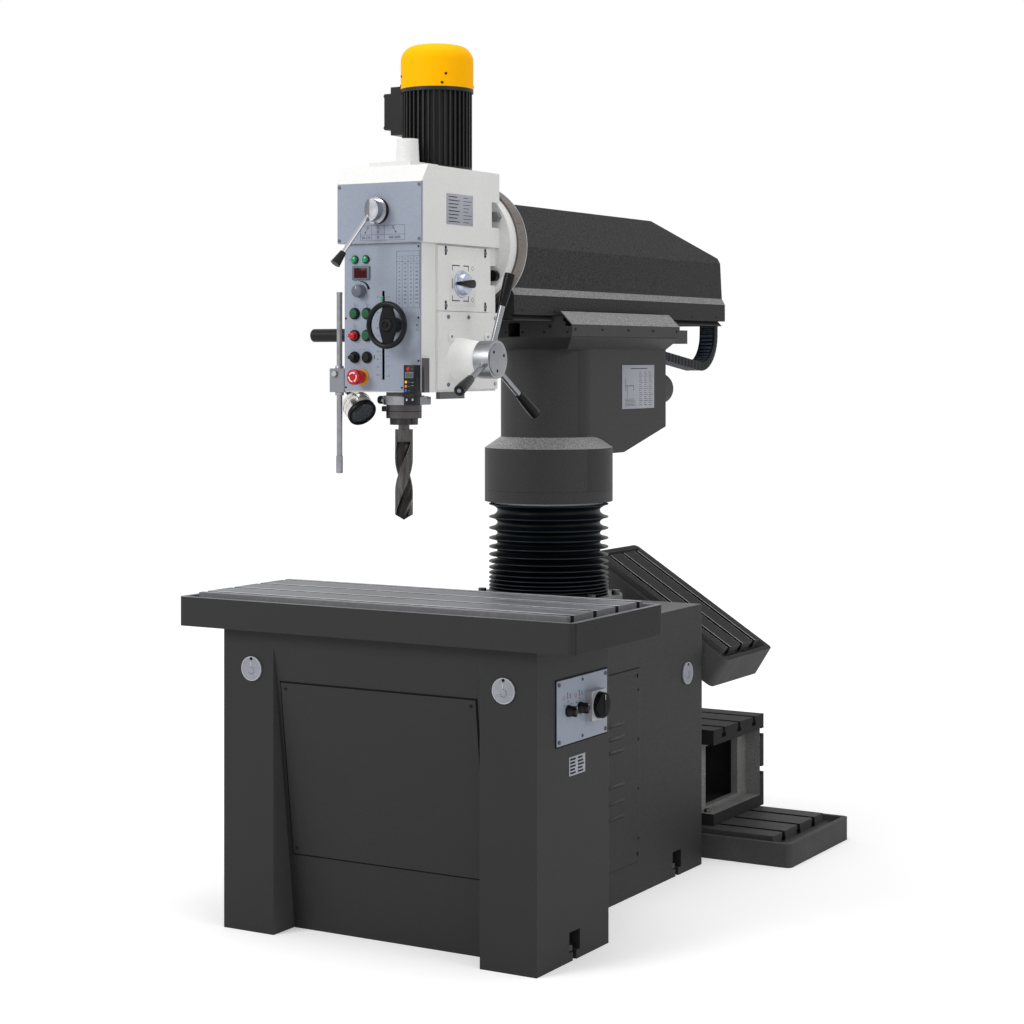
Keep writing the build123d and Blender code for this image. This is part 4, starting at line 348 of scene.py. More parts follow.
# Paint of the saddle's shoulder: its strong lighter speckle on the upward slope is painted sheen for the
# glints on the glossy paint.
shoulder_painted_sheen = paint("shoulder_painted_sheen", shade(DARK, 1.2), 0.4, 300, 0.4, 0.2, shade(DARK, 3),
                       specular=0.5, dust_and_sheen=0.32)
white_paint = paint("white_paint", WHITE, grain=330, wear=shade(WHITE, 1.12), edge=3.0, specular=0.3)
# Brighter copy of the white paint for the feed boss: painted light.
boss_painted_light = paint("boss_painted_light", shade(WHITE, 1.15), 0.45, 330, 0.3, 0.06, shade(WHITE, 1.2),
                   edge=3.0, specular=0.35)
panel_paint = paint("panel_paint", PANEL, 0.48, 420, 0.2, 0.16, shade(PANEL, 1.5), edge=1.0, specular=0.3)
motor_paint = paint("motor_paint", (0.014, 0.014, 0.0145), 0.45, 400, 0.2, 0.15, grey(0.05),
                    edge=1.0, specular=0.25)
# The yellow paint glows faintly: painted light.
yellow_paint = paint("yellow_paint", (1.0, 0.46, 0.0), 0.5, 260, 0.12, 0.04, (1.0, 0.55, 0.01),
                     edge=2.0, specular=0.05, glow=0.08)
grey_block = paint("grey_block", (0.24, 0.25, 0.28), 0.42, 420, 0.15, 0.1, (0.5, 0.5, 0.52),
                   edge=1.2, specular=0.35)
beam_grey = paint("beam_grey", (0.085, 0.078, 0.078), 0.45, 420, 0.15, 0.12, grey(0.3), edge=1.0,
                  specular=0.35)
under_grey = paint("under_grey", (0.13, 0.13, 0.135), 0.45, 420, 0.15, 0.12, grey(0.3), edge=1.0,
                   specular=0.3)
disc_mark = paint("disc_mark", (0.55, 0.57, 0.61), 0.4, 500, 0.1, 0.1, specular=0.3)
label_grey = paint("label_grey", (0.37, 0.385, 0.44), 0.4, 500, 0.08, 0.06, specular=0.4)

work_top = planed("work_table_iron", (0.175, 0.18, 0.2), (0.3, 0.305, 0.32), 0.6, 0.3, 0.45, (3, 24, 60))
table_wall = planed("table_wall_iron", (0.19, 0.19, 0.2), (0.3, 0.3, 0.31), 0.2, 0.1, 0.5, grey(60))
rear_iron = planed("rear_table_iron", (0.023, 0.023, 0.0235), grey(0.12), 0.45, 0.0, 0.6, grey(160), 0.1)
floor_iron = planed("floor_plate_iron", (0.06, 0.06, 0.0605), grey(0.14), 0.45, 0.0, 0.6, grey(160), 0.1)
tilt_iron = planed("tilt_table_iron", (0.019, 0.019, 0.0195), grey(0.30), 0.3, 0.0, 0.6, grey(160), 0.1)
# Light iron for the strips along the T-slots: painted highlight.
slot_painted_highlight = planed("slot_painted_highlight", (0.6, 0.6, 0.62), grey(0.7), 0.4, 0.2, 0.4, grey(60))
switch_silver = planed("switch_silver", (0.42, 0.42, 0.45), (0.6, 0.6, 0.62), 0.15, 0.25, 0.35, grey(60), 0.4)

hood_paint = cast("hood_paint", shade(DARK, 1.2), 0.75, 200, 0.55, False)
# Near-black for T-slot insides and for undersides: painted shade.
slot_and_underside_painted_shade = cast("painted_shade_black", grey(0.016), 0.2)
cast_dark = cast("cast_dark", (0.026, 0.026, 0.0265), 0.25)
cast_floor = cast("cast_floor", (0.085, 0.085, 0.0855), 0.3)
cast_tilt = cast("cast_tilt", grey(0.11), 0.4)
# Pale cast for the box table's recess walls: painted light in the recess's shade.
box_recess_painted_light = cast("box_recess_painted_light", (0.26, 0.26, 0.256), 0.6)
# Lighter grey for the flat tops of the base and of the guide's flange.
pale_top = cast("pale_top", (0.23, 0.231, 0.232), 0.35)
disc_grey = cast("disc_grey", (0.34, 0.355, 0.395), 0.3, 420, 0.5)

steel = metal("ground_steel", (0.34, 0.33, 0.32), 0.32, (30, 30, 700))
dark_steel = metal("dark_steel", (0.052, 0.048, 0.048), 0.34, (120, 120, 10), 0.75, 0.4, (0.3, 0.29, 0.29))
ring_steel = metal("ring_steel", (0.20, 0.175, 0.16), 0.42, (700, 25, 700), 0.35, 0.3, (0.6, 0.59, 0.57))
quill_steel = metal("quill_steel", (0.088, 0.083, 0.086), 0.32, (25, 25, 800), 0.25, 0.2)
drill_flute = metal("drill_flute", (0.034, 0.03, 0.03), 0.32, (110, 110, 14), 0.6, 0.4)
drill_steel = metal("drill_steel", (0.105, 0.098, 0.098), 0.3, (110, 110, 14), 0.85, 0.4, (0.34, 0.33, 0.33))
chrome = metal("chrome", (0.46, 0.47, 0.50), 0.17, grey(60), 0.06, 0.05)
lever_steel = metal("lever_steel", (0.25, 0.255, 0.27), 0.22, grey(60), 0.1, 0.1)
satin = metal("satin_metal", (0.26, 0.265, 0.29), 0.3, grey(50), 0.14, 0.12)
hub_metal = metal("hub_metal", (0.33, 0.335, 0.355), 0.35, grey(50), 0.12, 0.1)
dial_metal = metal("dial_metal", (0.42, 0.46, 0.56), 0.3, grey(50), 0.1, 0.1)
lamp_shell = metal("lamp_shell", (0.72, 0.70, 0.65), 0.14, grey(40), 0.06, 0.08)
zinc = metal("zinc", grey(0.36), 0.36, grey(90), 0.14, 0.14)
dark_zinc = metal("dark_zinc", grey(0.085), 0.42, grey(90), 0.2, 0.2, grey(0.2))

black_plastic = plastic("black_plastic", (0.008, 0.008, 0.0085), 0.38, specular=0.16)
black_gloss = plastic("black_gloss", (0.005, 0.0055, 0.0065), 0.24, 900, 0.04, 0.14)
slate_plastic = plastic("slate_plastic", (0.12, 0.135, 0.17), 0.45, specular=0.25)
bellows_cloth = plastic("bellows_cloth", (0.002, 0.0035, 0.0050), 0.42, 900, 0.3, 0.12)
# Lighter blue for the ridge of every fold: painted sheen.
fold_painted_sheen = plastic("bellows_fold_edge", (0.010, 0.018, 0.027), 0.4, 900, 0.2, 0.2)
chain_plastic = plastic("chain_plastic", (0.005, 0.006, 0.009), 0.45, specular=0.1)
chain_rung = plastic("chain_rung", (0.045, 0.058, 0.078), 0.45, specular=0.15)
yellow_plate = plastic("yellow_plastic", (0.62, 0.27, 0.004), 0.4)
green_lens = plastic("green_lens", (0.0, 0.25, 0.085), 0.18)
green_button = plastic("green_button", (0.008, 0.085, 0.03), 0.32, specular=0.25)
red_button = plastic("red_button", (0.44, 0.004, 0.011), 0.3, specular=0.3)
orange_dot = plastic("orange_dot", (0.8, 0.14, 0.01), 0.3)
blue_dot = plastic("blue_dot", (0.01, 0.07, 0.55), 0.3)
amber_dot = plastic("amber_dot", (0.8, 0.5, 0.01), 0.3)
white_mark = plastic("white_mark", grey(0.75), 0.4)
ink = plastic("ink", (0.008, 0.008, 0.009), 0.5, specular=0.1)
pale_ink = plastic("pale_ink", (0.09, 0.095, 0.11), 0.5, specular=0.15)
seam = plastic("seam", grey(0.004), 0.6, specular=0.08)
red_screen = glow_screen("red_screen", (0.04, 0.003, 0.004), 0.15)
lcd_screen = glow_screen("lcd_screen", (0.09, 0.11, 0.09), 0.1)
lamp_glass = clear_glass("lamp_glass")


# Which solids wear which material

def dress(material, *names):
    for name in names:
        mesh = NODES[name].data
        mesh.materials.clear()
        mesh.materials.append(material)


def dress_by(name, *choices):
    """Give a node's faces one of several materials, each with a test of a face's middle and normal.

    The first test that holds decides; the last choice is a material alone, for the other faces.
    """
    *tested, rest = choices
    dress(rest, name)
    mesh = NODES[name].data
    for material, _ in tested:
        mesh.materials.append(material)
    for face in mesh.polygons:
        middle = Vector(face.center) / MM
        hits = [i for i, (_, test) in enumerate(tested, 1) if test(middle, face.normal)]
        face.material_index = hits[0] if hits else 0


def faces_up(p, n):
    return n.z > 0.9


def faces_sideways(p, n):
    return abs(n.x) > 0.9


def in_work_slot(p, n):
    return abs(p.x) < 563.5 and -915.5 < p.y < -507.5 and p.z < 879.5


def inside_rim(p, n):
    return abs(p.x) < 588.5 and -940.5 < p.y < -482.5 and p.z > 849


def in_box_recess(p, n):
    inwards = abs(n.x) * abs(p.x) < 235
    return inwards and 183 < abs(p.x) < 277.5 and 116.5 < p.z < 328.5 and 541 < p.y < 890


def in_rear_slot(p, end, middle, pitch, top):
    """Inside one of the three T-slots of a rear table."""
    aside = min(abs(p.y - middle - pitch * i) for i in (-1, 0, 1))
    return aside < 17 and abs(p.x) < end and top - 40 < p.z < top - 0.5


def in_pointer_slot(p, n):
    return abs(p.x - 5) < 3.8 and 1462 < p.z < 1693 and p.y < -800


dress(dark_paint, "tilt_bracket", "access_covers")
dress(disc_grey, "lifting_covers")
dress(arm_painted_light, "clamp_unit")
dress(ring_steel, "swivel_ring")
dress(steel, "swing_bearing", "lift_pinion", "spindle_gear", "layshaft")
dress(motor_paint, "lift_motor", "motor_rotor")
dress(yellow_paint, "fan_cover")
dress(white_paint, "gearbox_housing", "spindle_cap")
dress(panel_paint, "gearbox_panel")
dress(black_plastic, "side_handle")
dress(satin, "guard_rod", "quill_clamp")
# Base: the knee recess's side walls get the lighter paint as painted light; the flat top a lighter grey.
dress_by("base_casting", (pale_top, lambda p, n: n.z > 0.9 and 770 < p.z < 790),
         (reveal_painted_light, lambda p, n: abs(n.x) > 0.9 and abs(p.x) < 330 and p.y < -800), dark_paint)
# Work table: near-black slot insides and darker sides are painted shade.
dress_by("work_table", (work_top, lambda p, n: n.z > 0.9 and p.z > 879), (slot_and_underside_painted_shade, in_work_slot),
         (table_wall, inside_rim), (side_painted_shade, faces_sideways), dark_paint)
dress_by("base_fasteners",
         (black_plastic, lambda p, n: p.x > 311 and p.y > -500 and 90 < p.z < 660), dark_zinc)
dress_by("switch_panel", (switch_silver, lambda p, n: p.x > SWITCH_FACE + 0.5), panel_paint)
# Near-black T-slot insides of the floor plate and tilt table: painted shade.
dress_by("floor_plate", (slot_and_underside_painted_shade, lambda p, n: in_rear_slot(p, 494, 696, 117, 81)),
         (floor_iron, faces_up), cast_floor)
dress_by("tilt_table", (slot_and_underside_painted_shade, lambda p, n: in_rear_slot(LEVEL @ p, 245, 607, 92, 253)),
         (tilt_iron, lambda p, n: n.z > 0.8 and n.x > 0.45), cast_tilt)
# Box table: its recess walls are lightened as painted light.
dress_by("box_table", (box_recess_painted_light, in_box_recess), (rear_iron, faces_up), cast_dark)
dress_by("column_guide", (pale_top, lambda p, n: p.z > 775 and p.xy.length > 160), steel)
# The column collar gets the lighter arm paint: painted light.
dress_by("column", (arm_painted_light, lambda p, n: p.z > 1090 and p.xy.length > 130), steel)
# Saddle: the upward shoulder gets painted sheen.
dress_by("saddle", (shoulder_painted_sheen, lambda p, n: 1255 < p.z < 1295 and 0.2 < n.z < 0.98),
         # Downward faces high on the saddle keep the plain dark paint and its side faces a darker copy:
         # painted shade.
         (smooth_dark, lambda p, n: p.z > 1480 and n.z < -0.2), (arm_side_painted_shade, faces_sideways),
         arm_painted_light)
# Near-black undersides of the guards, ram and hood: painted shade.
dress_by("slide_guards", (slot_and_underside_painted_shade, lambda p, n: n.z < -0.2),
         (guard_paint, lambda p, n: abs(p.x) > 140 and p.y > -190), arm_painted_light)
dress_by("ram_beam", (slot_and_underside_painted_shade, lambda p, n: n.z < -0.4), smooth_dark)
dress_by("ram_hood", (slot_and_underside_painted_shade, lambda p, n: n.z < -0.4),
         (guard_paint, lambda p, n: p.z < 1760 and 0.25 < n.z < 0.98), hood_paint)
dress_by("motor_frame", (black_plastic, lambda p, n: p.x < -84), motor_paint)
# The feed boss gets the brighter white: painted light.
dress_by("feed_cover", (boss_painted_light, lambda p, n: p.x > 128), white_paint)
dress_by("head_casting", (seam, in_pointer_slot), white_paint)
dress_by("control_panel", (seam, lambda p, n: in_pointer_slot(p, n) and n.y > -0.9), panel_paint)
dress_by("head_fasteners",
         (black_gloss, lambda p, n: 1715 < p.z < 1765 and p.y > -530 and p.x > 95),
         (zinc, lambda p, n: p.y > -540), slate_plastic)
dress_by("head_brackets", (under_grey, lambda p, n: p.x > 100 and p.z < 1432),
         (beam_grey, lambda p, n: p.x > 100), grey_block)
dress_by("speed_lever", (black_plastic, lambda p, n: p.z < 1797 or p.y > UPPER_FACE - 12.9),
         (satin, lambda p, n: p.y < -905.5 and p.z > 1866 and abs(n.x + 0.6) < 0.05), chrome)
dress_by("pilot_wheel", (black_gloss, lambda p, n: (p - PILOT).length > 146 and p.x > 200),
         (hub_metal, lambda p, n: (p - PILOT).yz.length < 50), lever_steel)
dress_by("quill", (dark_steel, lambda p, n: p.z < 1396), quill_steel)
dress_by("spindle", (dark_steel, lambda p, n: p.z < 1363), steel)
dress_by("drill", (drill_flute, lambda p, n: hypot(p.x, p.y - SPINDLE_Y) < 20.5 and p.z < 1330), drill_steel)
dress_by("depth_gauge", (satin, lambda p, n: 30 < p.x < 100.5 and p.y > -881.5 and p.z < 1420), black_plastic)


# Meshes

def square_axes(axis):
    """An axis as a unit vector, and two more at right angles to it."""
    axis = Vector(axis).normalized()
    side = axis.orthogonal().normalized()
    return axis, side, axis.cross(side)


class Piece:
    """One detailed piece, built from turned, bent and flat shapes in mm from its origin."""

    def __init__(self, name, origin=HERE):
        self.name = name
        self.origin = Vector(origin)
        self.bm = bmesh.new()
        self.materials = []

    def slot(self, material):
        if material not in self.materials:
            self.materials.append(material)
        return self.materials.index(material)

    def faces(self, target, points, polygons):
        verts = [target.verts.new((Vector(p) + self.origin) * MM) for p in points]
        return [target.faces.new([verts[i] for i in polygon]) for polygon in polygons]

    def skin(self, material, rings, closed=False, caps=False):
        """Faces between rings of points, each ring with as many points as the next or with one."""
        points = [p for ring in rings for p in ring]
        firsts = [sum(map(len, rings[:i])) for i in range(len(rings))]
        ids = [range(first, first + len(ring)) for first, ring in zip(firsts, rings)]
        polygons = []
        for low, high in zip(ids, ids[1:] + ids[:closed]):
            for i in range(max(len(low), len(high))):
                quad = [ring[k % len(ring)] for ring, k in ((low, i), (low, i + 1), (high, i + 1), (high, i))]
                corners = tuple(dict.fromkeys(quad))
                if len(corners) > 2:
                    polygons.append(corners)
        if caps:
            polygons += [tuple(ids[0]), tuple(reversed(ids[-1]))]
        index = self.slot(material)
        for face in self.faces(self.bm, points, polygons):
            face.material_index = index

    def take(self, material, mesh):
        index = self.slot(material)
        for face in mesh.polygons:
            face.material_index = index
        self.bm.from_mesh(mesh)
        bpy.data.meshes.remove(mesh)

    def turn(self, material, axis, profile, segments, at=HERE):
        """Profile of (radius, height) pairs turned round an axis."""
        axis, side, other = square_axes(axis)
        rings = []
        for radius, height in profile:
            base = Vector(at) + axis * height
            turns = [2 * pi * i / segments for i in range(segments if radius else 1)]
            rings.append([base + (side * cos(a) + other * sin(a)) * radius for a in turns])
        self.skin(material, rings)

    def disc(self, material, at, axis, radius, height, segments):
        profile = [(0, 0), (radius, 0), (radius, height), (0, height)]
        self.turn(material, axis, profile, segments, at)

    def hoop(self, material, at, axis, radius, thick, segments, sides, flat=1.0, start=0, sweep=360):
        """Round bar bent into a ring or part of one."""
        axis, side, other = square_axes(axis)
        closed = sweep >= 360
        sections = [2 * pi * k / sides for k in range(sides)]
        rings = []
        for i in range(segments + (not closed)):
            a = radians(start + sweep * i / segments)
            out = side * cos(a) + other * sin(a)
            rings.append([Vector(at) + out * (radius + thick * cos(b)) + axis * thick * flat * sin(b)
                          for b in sections])
        self.skin(material, rings, closed, not closed)

    def slab(self, material, outline, thick, round_by=0.0, segments=2):
        """Flat outline of points, given thickness along a vector, with rounded edges."""
        n = len(outline)
        low = [Vector(p) for p in outline]
        polygons = [tuple(reversed(range(n))), tuple(range(n, 2 * n))]
        polygons += [(i, (i + 1) % n, n + (i + 1) % n, n + i) for i in range(n)]
        part = bmesh.new()
        self.faces(part, low + [p + Vector(thick) for p in low], polygons)
        bmesh.ops.recalc_face_normals(part, faces=part.faces)
        if round_by:
            bmesh.ops.bevel(part, geom=list(part.edges), offset=round_by * MM, segments=segments,
                            affect="EDGES", profile=0.5, clamp_overlap=True)
        mesh = bpy.data.meshes.new("part")
        part.to_mesh(mesh)
        part.free()
        self.take(material, mesh)

    def block(self, material, low, high, round_by=0.0, segments=2):
        (x0, y0, z0), (x1, y1, z1) = low, high
        outline = [(x0, y0, z0), (x1, y0, z0), (x1, y1, z0), (x0, y1, z0)]
        self.slab(material, outline, (0, 0, z1 - z0), round_by, segments)

    def side_bar(self, material, x, y0, y1, z0, z1, thick=0.3, round_by=0.0):
        """Thin plate or printed bar on a face that looks to the right."""
        self.block(material, (x, y0, z0), (x + thick, y1, z1), round_by)

    def front_bar(self, material, x0, x1, z0, z1):
        """Printed bar on the front face through the origin."""
        self.block(material, (x0, -0.25, z0), (x1, 0.2, z1))

    def front_frame(self, material, x0, x1, z0, z1, width=0.7):
        self.front_bar(material, x0, x1, z0, z0 + width)
        self.front_bar(material, x0, x1, z1 - width, z1)
        self.front_bar(material, x0, x0 + width, z0, z1)
        self.front_bar(material, x1 - width, x1, z0, z1)

    def words(self, material, text, x, z, size):
        """Plain digits and marks on the front face through the origin."""
        curve = bpy.data.curves.new("digits", "FONT")
        curve.body = text
        curve.size = size * MM
        curve.align_x = "CENTER"
        curve.align_y = "CENTER"
        curve.extrude = 0.05 * MM
        curve.resolution_u = 2
        holder = bpy.data.objects.new("digits", curve)
        mesh = bpy.data.meshes.new_from_object(holder)
        turn = Matrix((X, Z, -Y)).transposed().to_4x4()
        turn.translation = (self.origin + Vector((x, -0.15, z))) * MM
        mesh.transform(turn)
        self.take(material, mesh)
        bpy.data.objects.remove(holder)
        bpy.data.curves.remove(curve)

    def screw(self, at, axis, radius, height, material=black_plastic):
        """Round-headed screw with a dark six-sided socket."""
        r, h = radius, height
        head = [(0, -0.5), (r, -0.5), (r, h * 0.55), (r * 0.75, h), (r * 0.45, h),
                (r * 0.45, h * 0.4), (0, h * 0.4)]
        self.turn(material, axis, head, 20, at)
        self.turn(seam, axis, [(0, h * 0.41), (r * 0.44, h * 0.41), (0, h * 0.45)], 6, at)

    def build(self, body, replaces=(), bend=None):
        bmesh.ops.recalc_face_normals(self.bm, faces=self.bm.faces)
        mesh = bpy.data.meshes.new(self.name)
        self.bm.to_mesh(mesh)
        self.bm.free()
        for material in self.materials:
            mesh.materials.append(material)
        mesh.polygons.foreach_set("use_smooth", [True] * len(mesh.polygons))
        mesh.set_sharp_from_angle(angle=radians(38))
        piece = new_object(self.name, mesh)
        if bend:
            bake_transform(piece)
        else:
            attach(piece, body)
        if replaces:
            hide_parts(*replaces)


# Column: bellows with rounded folds that grow towards the top

def bellows():
    piece = Piece("bellows_cloth")
    folds, ratio, inner, depth = 14, 5.0, 150, 24
    heights = [ratio ** (i / (folds - 1)) for i in range(folds)]
    scale = (COLLAR_LOW - GUIDE_TOP - 9) / sum(heights)
    profile, z = [], GUIDE_TOP
    for height in heights:
        h = height * scale
        steps = 8 if h > 9 else 5
        for i in range(steps):
            t = i / steps
            profile.append((inner + depth * abs(2 * t - 1) ** 2.2, z + t * h))
        z += h
        # A lighter bead along each fold's ridge: painted sheen.
        piece.hoop(fold_painted_sheen, Z * z, Z, 173.4, min(1.5, h / 6), 96, 8)
    profile += [(174, z), (172.5, z + 1.6), (158, z + 2.2), (inner, z + 2.4)]
    clamp = [(inner, z + 2.2), (158, z + 2.2), (158.5, COLLAR_LOW), (inner, COLLAR_LOW)]
    piece.turn(bellows_cloth, Z, profile, 96)
    piece.turn(satin, Z, clamp, 96)
    piece.build("base", ("bellows",),
                ("base", "column", (0, 0, GUIDE_TOP), (0, 0, COLLAR_LOW)))


# Cable chain: links that follow the run out of the saddle, the turn and the rise to the ram

def chain_route():
    """Points along the chain's middle line, in the plane x = 0."""
    lean, bend = radians(7.4), 105.0
    start_y, start_z, end_y, end_z = 488.0, 1529.0, 886.0, 1621.7
    turn_y = end_y - bend * (1 + sin(lean))
    turn_z = start_z - (turn_y - start_y) * sin(lean) / cos(lean)
    start, turn = Vector((0, start_y, start_z)), Vector((0, turn_y, turn_z))
    centre = turn + Vector((0, bend * sin(lean), bend * cos(lean)))
    points = [start + (turn - start) * (i / 12) for i in range(13)]
    for i in range(1, 13):
        a = (radians(90) + lean) * (i / 12 - 1)
        points.append(centre + Vector((0, bend * cos(a), bend * sin(a))))
    rise = Vector((0, end_y, end_z)) - points[-1]
    return points + [points[-1] + rise * (i / 4) for i in range(1, 5)]


def link_plate(piece, material, start, end, x0, x1, share, low, high, round_by=0.0):
    """Plate of one link: between two x, over a share of its length, between two heights across."""
    middle, along = (start + end) / 2 + X * x0, end - start
    across = Vector((0, -along.z, along.y)).normalized()
    outline = [middle + along * u * share + across * v
               for u, v in ((-1, low), (1, low), (1, high), (-1, high))]
    piece.slab(material, outline, (x1 - x0, 0, 0), round_by)


def cable_chain():
    piece = Piece("cable_chain_links")
    left, right, half = 72.0, 126.0, 14.0
    route = chain_route()
    links = list(zip(route, route[1:]))
    for start, end in links:
        for x in (left, right - 7):
            link_plate(piece, chain_plastic, start, end, x, x + 7, 0.56, -half, half, 2.2)
        for rung in (-11.4, 11.4):
            link_plate(piece, chain_rung, start, end, left + 6, right - 6, 0.27, rung - 2, rung + 2, 1.2)
        link_plate(piece, black_plastic, start, end, left + 6, right - 6, 0.52, -6, -5)
    for x, (start, end) in product((84, 92, 101, 111), links):
        length = (end - start).length
        piece.disc(black_plastic, start + X * x, end - start, 3.6, length, 10)
    piece.build("saddle", ("cable_chain",),
                ("saddle", "ram", (0, 500, 1540), (0, 880, 1540)))


# Base: seams, screws, plates and switches

def base_details():
    piece = Piece("base_details")
    front, lean, height = -916, 94, 760  # the front cover leans back towards the floor
    out = Vector((0, -height, -lean)).normalized()

    def on_cover(x, z, lift=0.0):
        return Vector((x, front + lean * (1 - z / height), z)) + out * lift

    for x0, x1, z0, z1 in ((-303, 303, 665, 669), (-303, 303, 202, 206),
                           (-303, -299, 202, 669), (299, 303, 202, 669)):
        corners = [on_cover(x0, z0), on_cover(x1, z0), on_cover(x1, z1), on_cover(x0, z1)]
        piece.slab(seam, corners, out * 1.4)
    for x, z in product((-285, 285), (222, 650)):
        piece.screw(on_cover(x, z, 3.2), out, 4.5, 2.0)
    door = 315
    for bar in ((-483, -30, 637.5, 642), (-483, -30, 93, 97.5), (-483, -478.5, 95, 640),
                (-34.5, -30, 95, 640)):
        piece.side_bar(seam, door - 3, *bar, 1.2)
    for z, y in product((505, 468, 431, 335, 290, 246), (-430, -270)):
        louvre = [(door, y, z), (door, y + 142, z), (door + 1.6, y + 139, z - 8), (door + 1.6, y + 3, z - 8)]
        piece.slab(smooth_dark, louvre, (0, 0, -1.6), 0.6)
        piece.side_bar(seam, door - 0.1, y + 3, y + 139, z - 11, z - 9.4)
    for z in (160, 300, 440, 580):
        piece.screw((door, -42, z), X, 4.0, 2.0)
    piece.side_bar(seam, BASE_SIDE, -823, -548, 547, 718, 1.4)
    for y, z in product((-807, -686, -564), (561, 704)):
        piece.screw((SWITCH_FACE, y, z), X, 4.2, 2.2, dark_zinc)
    piece.side_bar(label_grey, BASE_SIDE, -752, -667, 467, 515, 0.8, 0.3)
    for i in range(5):
        z = 508 - 8.6 * i
        piece.side_bar(ink, BASE_SIDE + 0.7, -747, -718 - 3 * (i % 2), z - 2.4, z + 2.4)
        piece.side_bar(ink, BASE_SIDE + 0.7, -707, -682 + 4 * (i % 3), z - 2.4, z + 2.4)
    piece.build("base")


def panel_marks():
    """Plain marks round the two small switches, and the main switch's collar."""
    piece = Piece("switch_marks")
    for y in SMALL_SWITCHES.values():
        for angle in (40, 90, 140):
            a = radians(angle)
            dot = (SWITCH_FACE, y - 24 * cos(a), SWITCH_Z + 24 * sin(a))
            piece.disc(ink, dot, X, 1.8, 0.3, 10)
        piece.hoop(red_button, (SWITCH_FACE, y - 22, 668), X, 4.4, 0.8, 24, 6, 0.4)
        piece.side_bar(ink, SWITCH_FACE, y + 10, y + 12, 664, 676)
        piece.side_bar(ink, SWITCH_FACE, y - 3, y - 1, 664, 680)
    collar = [(0, 0), (37.6, 0), (37.6, 8), (36.4, 22.2), (35, 23), (33.6, 22.2), (0, 22.2)]
    piece.turn(hub_metal, X, collar, 48, (SWITCH_FACE, MAIN_SWITCH_Y, SWITCH_Z))
    piece.build("base")


def handle_bar(piece, material, x, half_y, half_z, thick, round_by):
    outline = [(x, -half_y, -half_z), (x, half_y, -half_z), (x, half_y, half_z), (x, -half_y, half_z)]
    piece.slab(material, outline, (thick, 0, 0), round_by)


def small_switch(name, y):
    piece = Piece(name + "_knob", (SWITCH_FACE + 0.3, y, SWITCH_Z))
    piece.turn(black_plastic, X, [(0, 0), (15, 0), (15, 3), (14, 8), (11.4, 12), (9.6, 15),
                                  (8.8, 24), (7.4, 26), (0, 26)], 36)
    handle_bar(piece, black_plastic, 8, 3.4, 13.6, 17.6, 2.4)
    piece.side_bar(white_mark, 25.7, -0.8, 0.8, 4, 12)
    piece.build(name, (name,))


def main_switch():
    piece = Piece("main_switch_knob", (505.3, MAIN_SWITCH_Y, SWITCH_Z))
    piece.turn(black_gloss, X, [(0, 0), (31, 0), (33.4, 2), (33.4, 12), (32, 15)], 48)
    piece.turn(seam, X, [(32, 15), (26, 17), (0, 16)], 48)
    handle_bar(piece, seam, 10, 7.5, 27, 8, 2.0)
    piece.side_bar(white_mark, 18.0, -1, 1, 14, 27, 0.2)
    piece.build("main_switch", ("main_switch",))


def lifting_marks():
    """Hook sign, raised edge and notch of the four lifting covers."""
    piece = Piece("lifting_marks")
    places = [((x, -920, 697), -Y, X) for x in (-387, 387)]
    places += [((side * 316, 281, 586), X * side, Y * side) for side in (-1, 1)]
    turns = [radians(a) for a in range(80, -190, -15)]
    hook = [Vector((-1, 18)), Vector((-1, 4))]
    hook += [Vector((9.5 * cos(a), 9.5 * sin(a) - 5)) for a in turns]
    for place, out, right in places:
        piece.origin = Vector(place)
        piece.hoop(disc_mark, HERE, out, 31.2, 1.1, 56, 8, 0.5)
        for a, b in zip(hook, hook[1:]):
            along = (b - a).normalized() * 0.6
            side = Vector((-along.y, along.x)) * 2
            corners = [a - along - side, b + along - side, b + along + side, a - along + side]
            piece.slab(disc_mark, [right * q.x + Z * q.y for q in corners], out * 0.35)
        piece.disc(seam, Z * 26.5, out, 4.2, 0.7, 20)
    piece.build("base")


def slot_lines(name, body, end, y_middle, pitch, count, top, place, near, far):
    """Light lines along the edges of the T-slots: painted highlights."""
    piece = Piece(name)
    half_slot = 9
    for i in range(count):
        y = y_middle + pitch * (i - (count - 1) / 2)
        for y0, y1 in ((y - half_slot - near, y - half_slot), (y + half_slot, y + half_slot + far)):
            corners = [(-end, y0, top), (end, y0, top), (end, y1, top), (-end, y1, top)]
            piece.slab(slot_painted_highlight, [place @ Vector(c) for c in corners], place.to_3x3() @ Z * 0.2)
    piece.build(body)


# Arm: screws of the bed, guards and hood, and the chart on the saddle

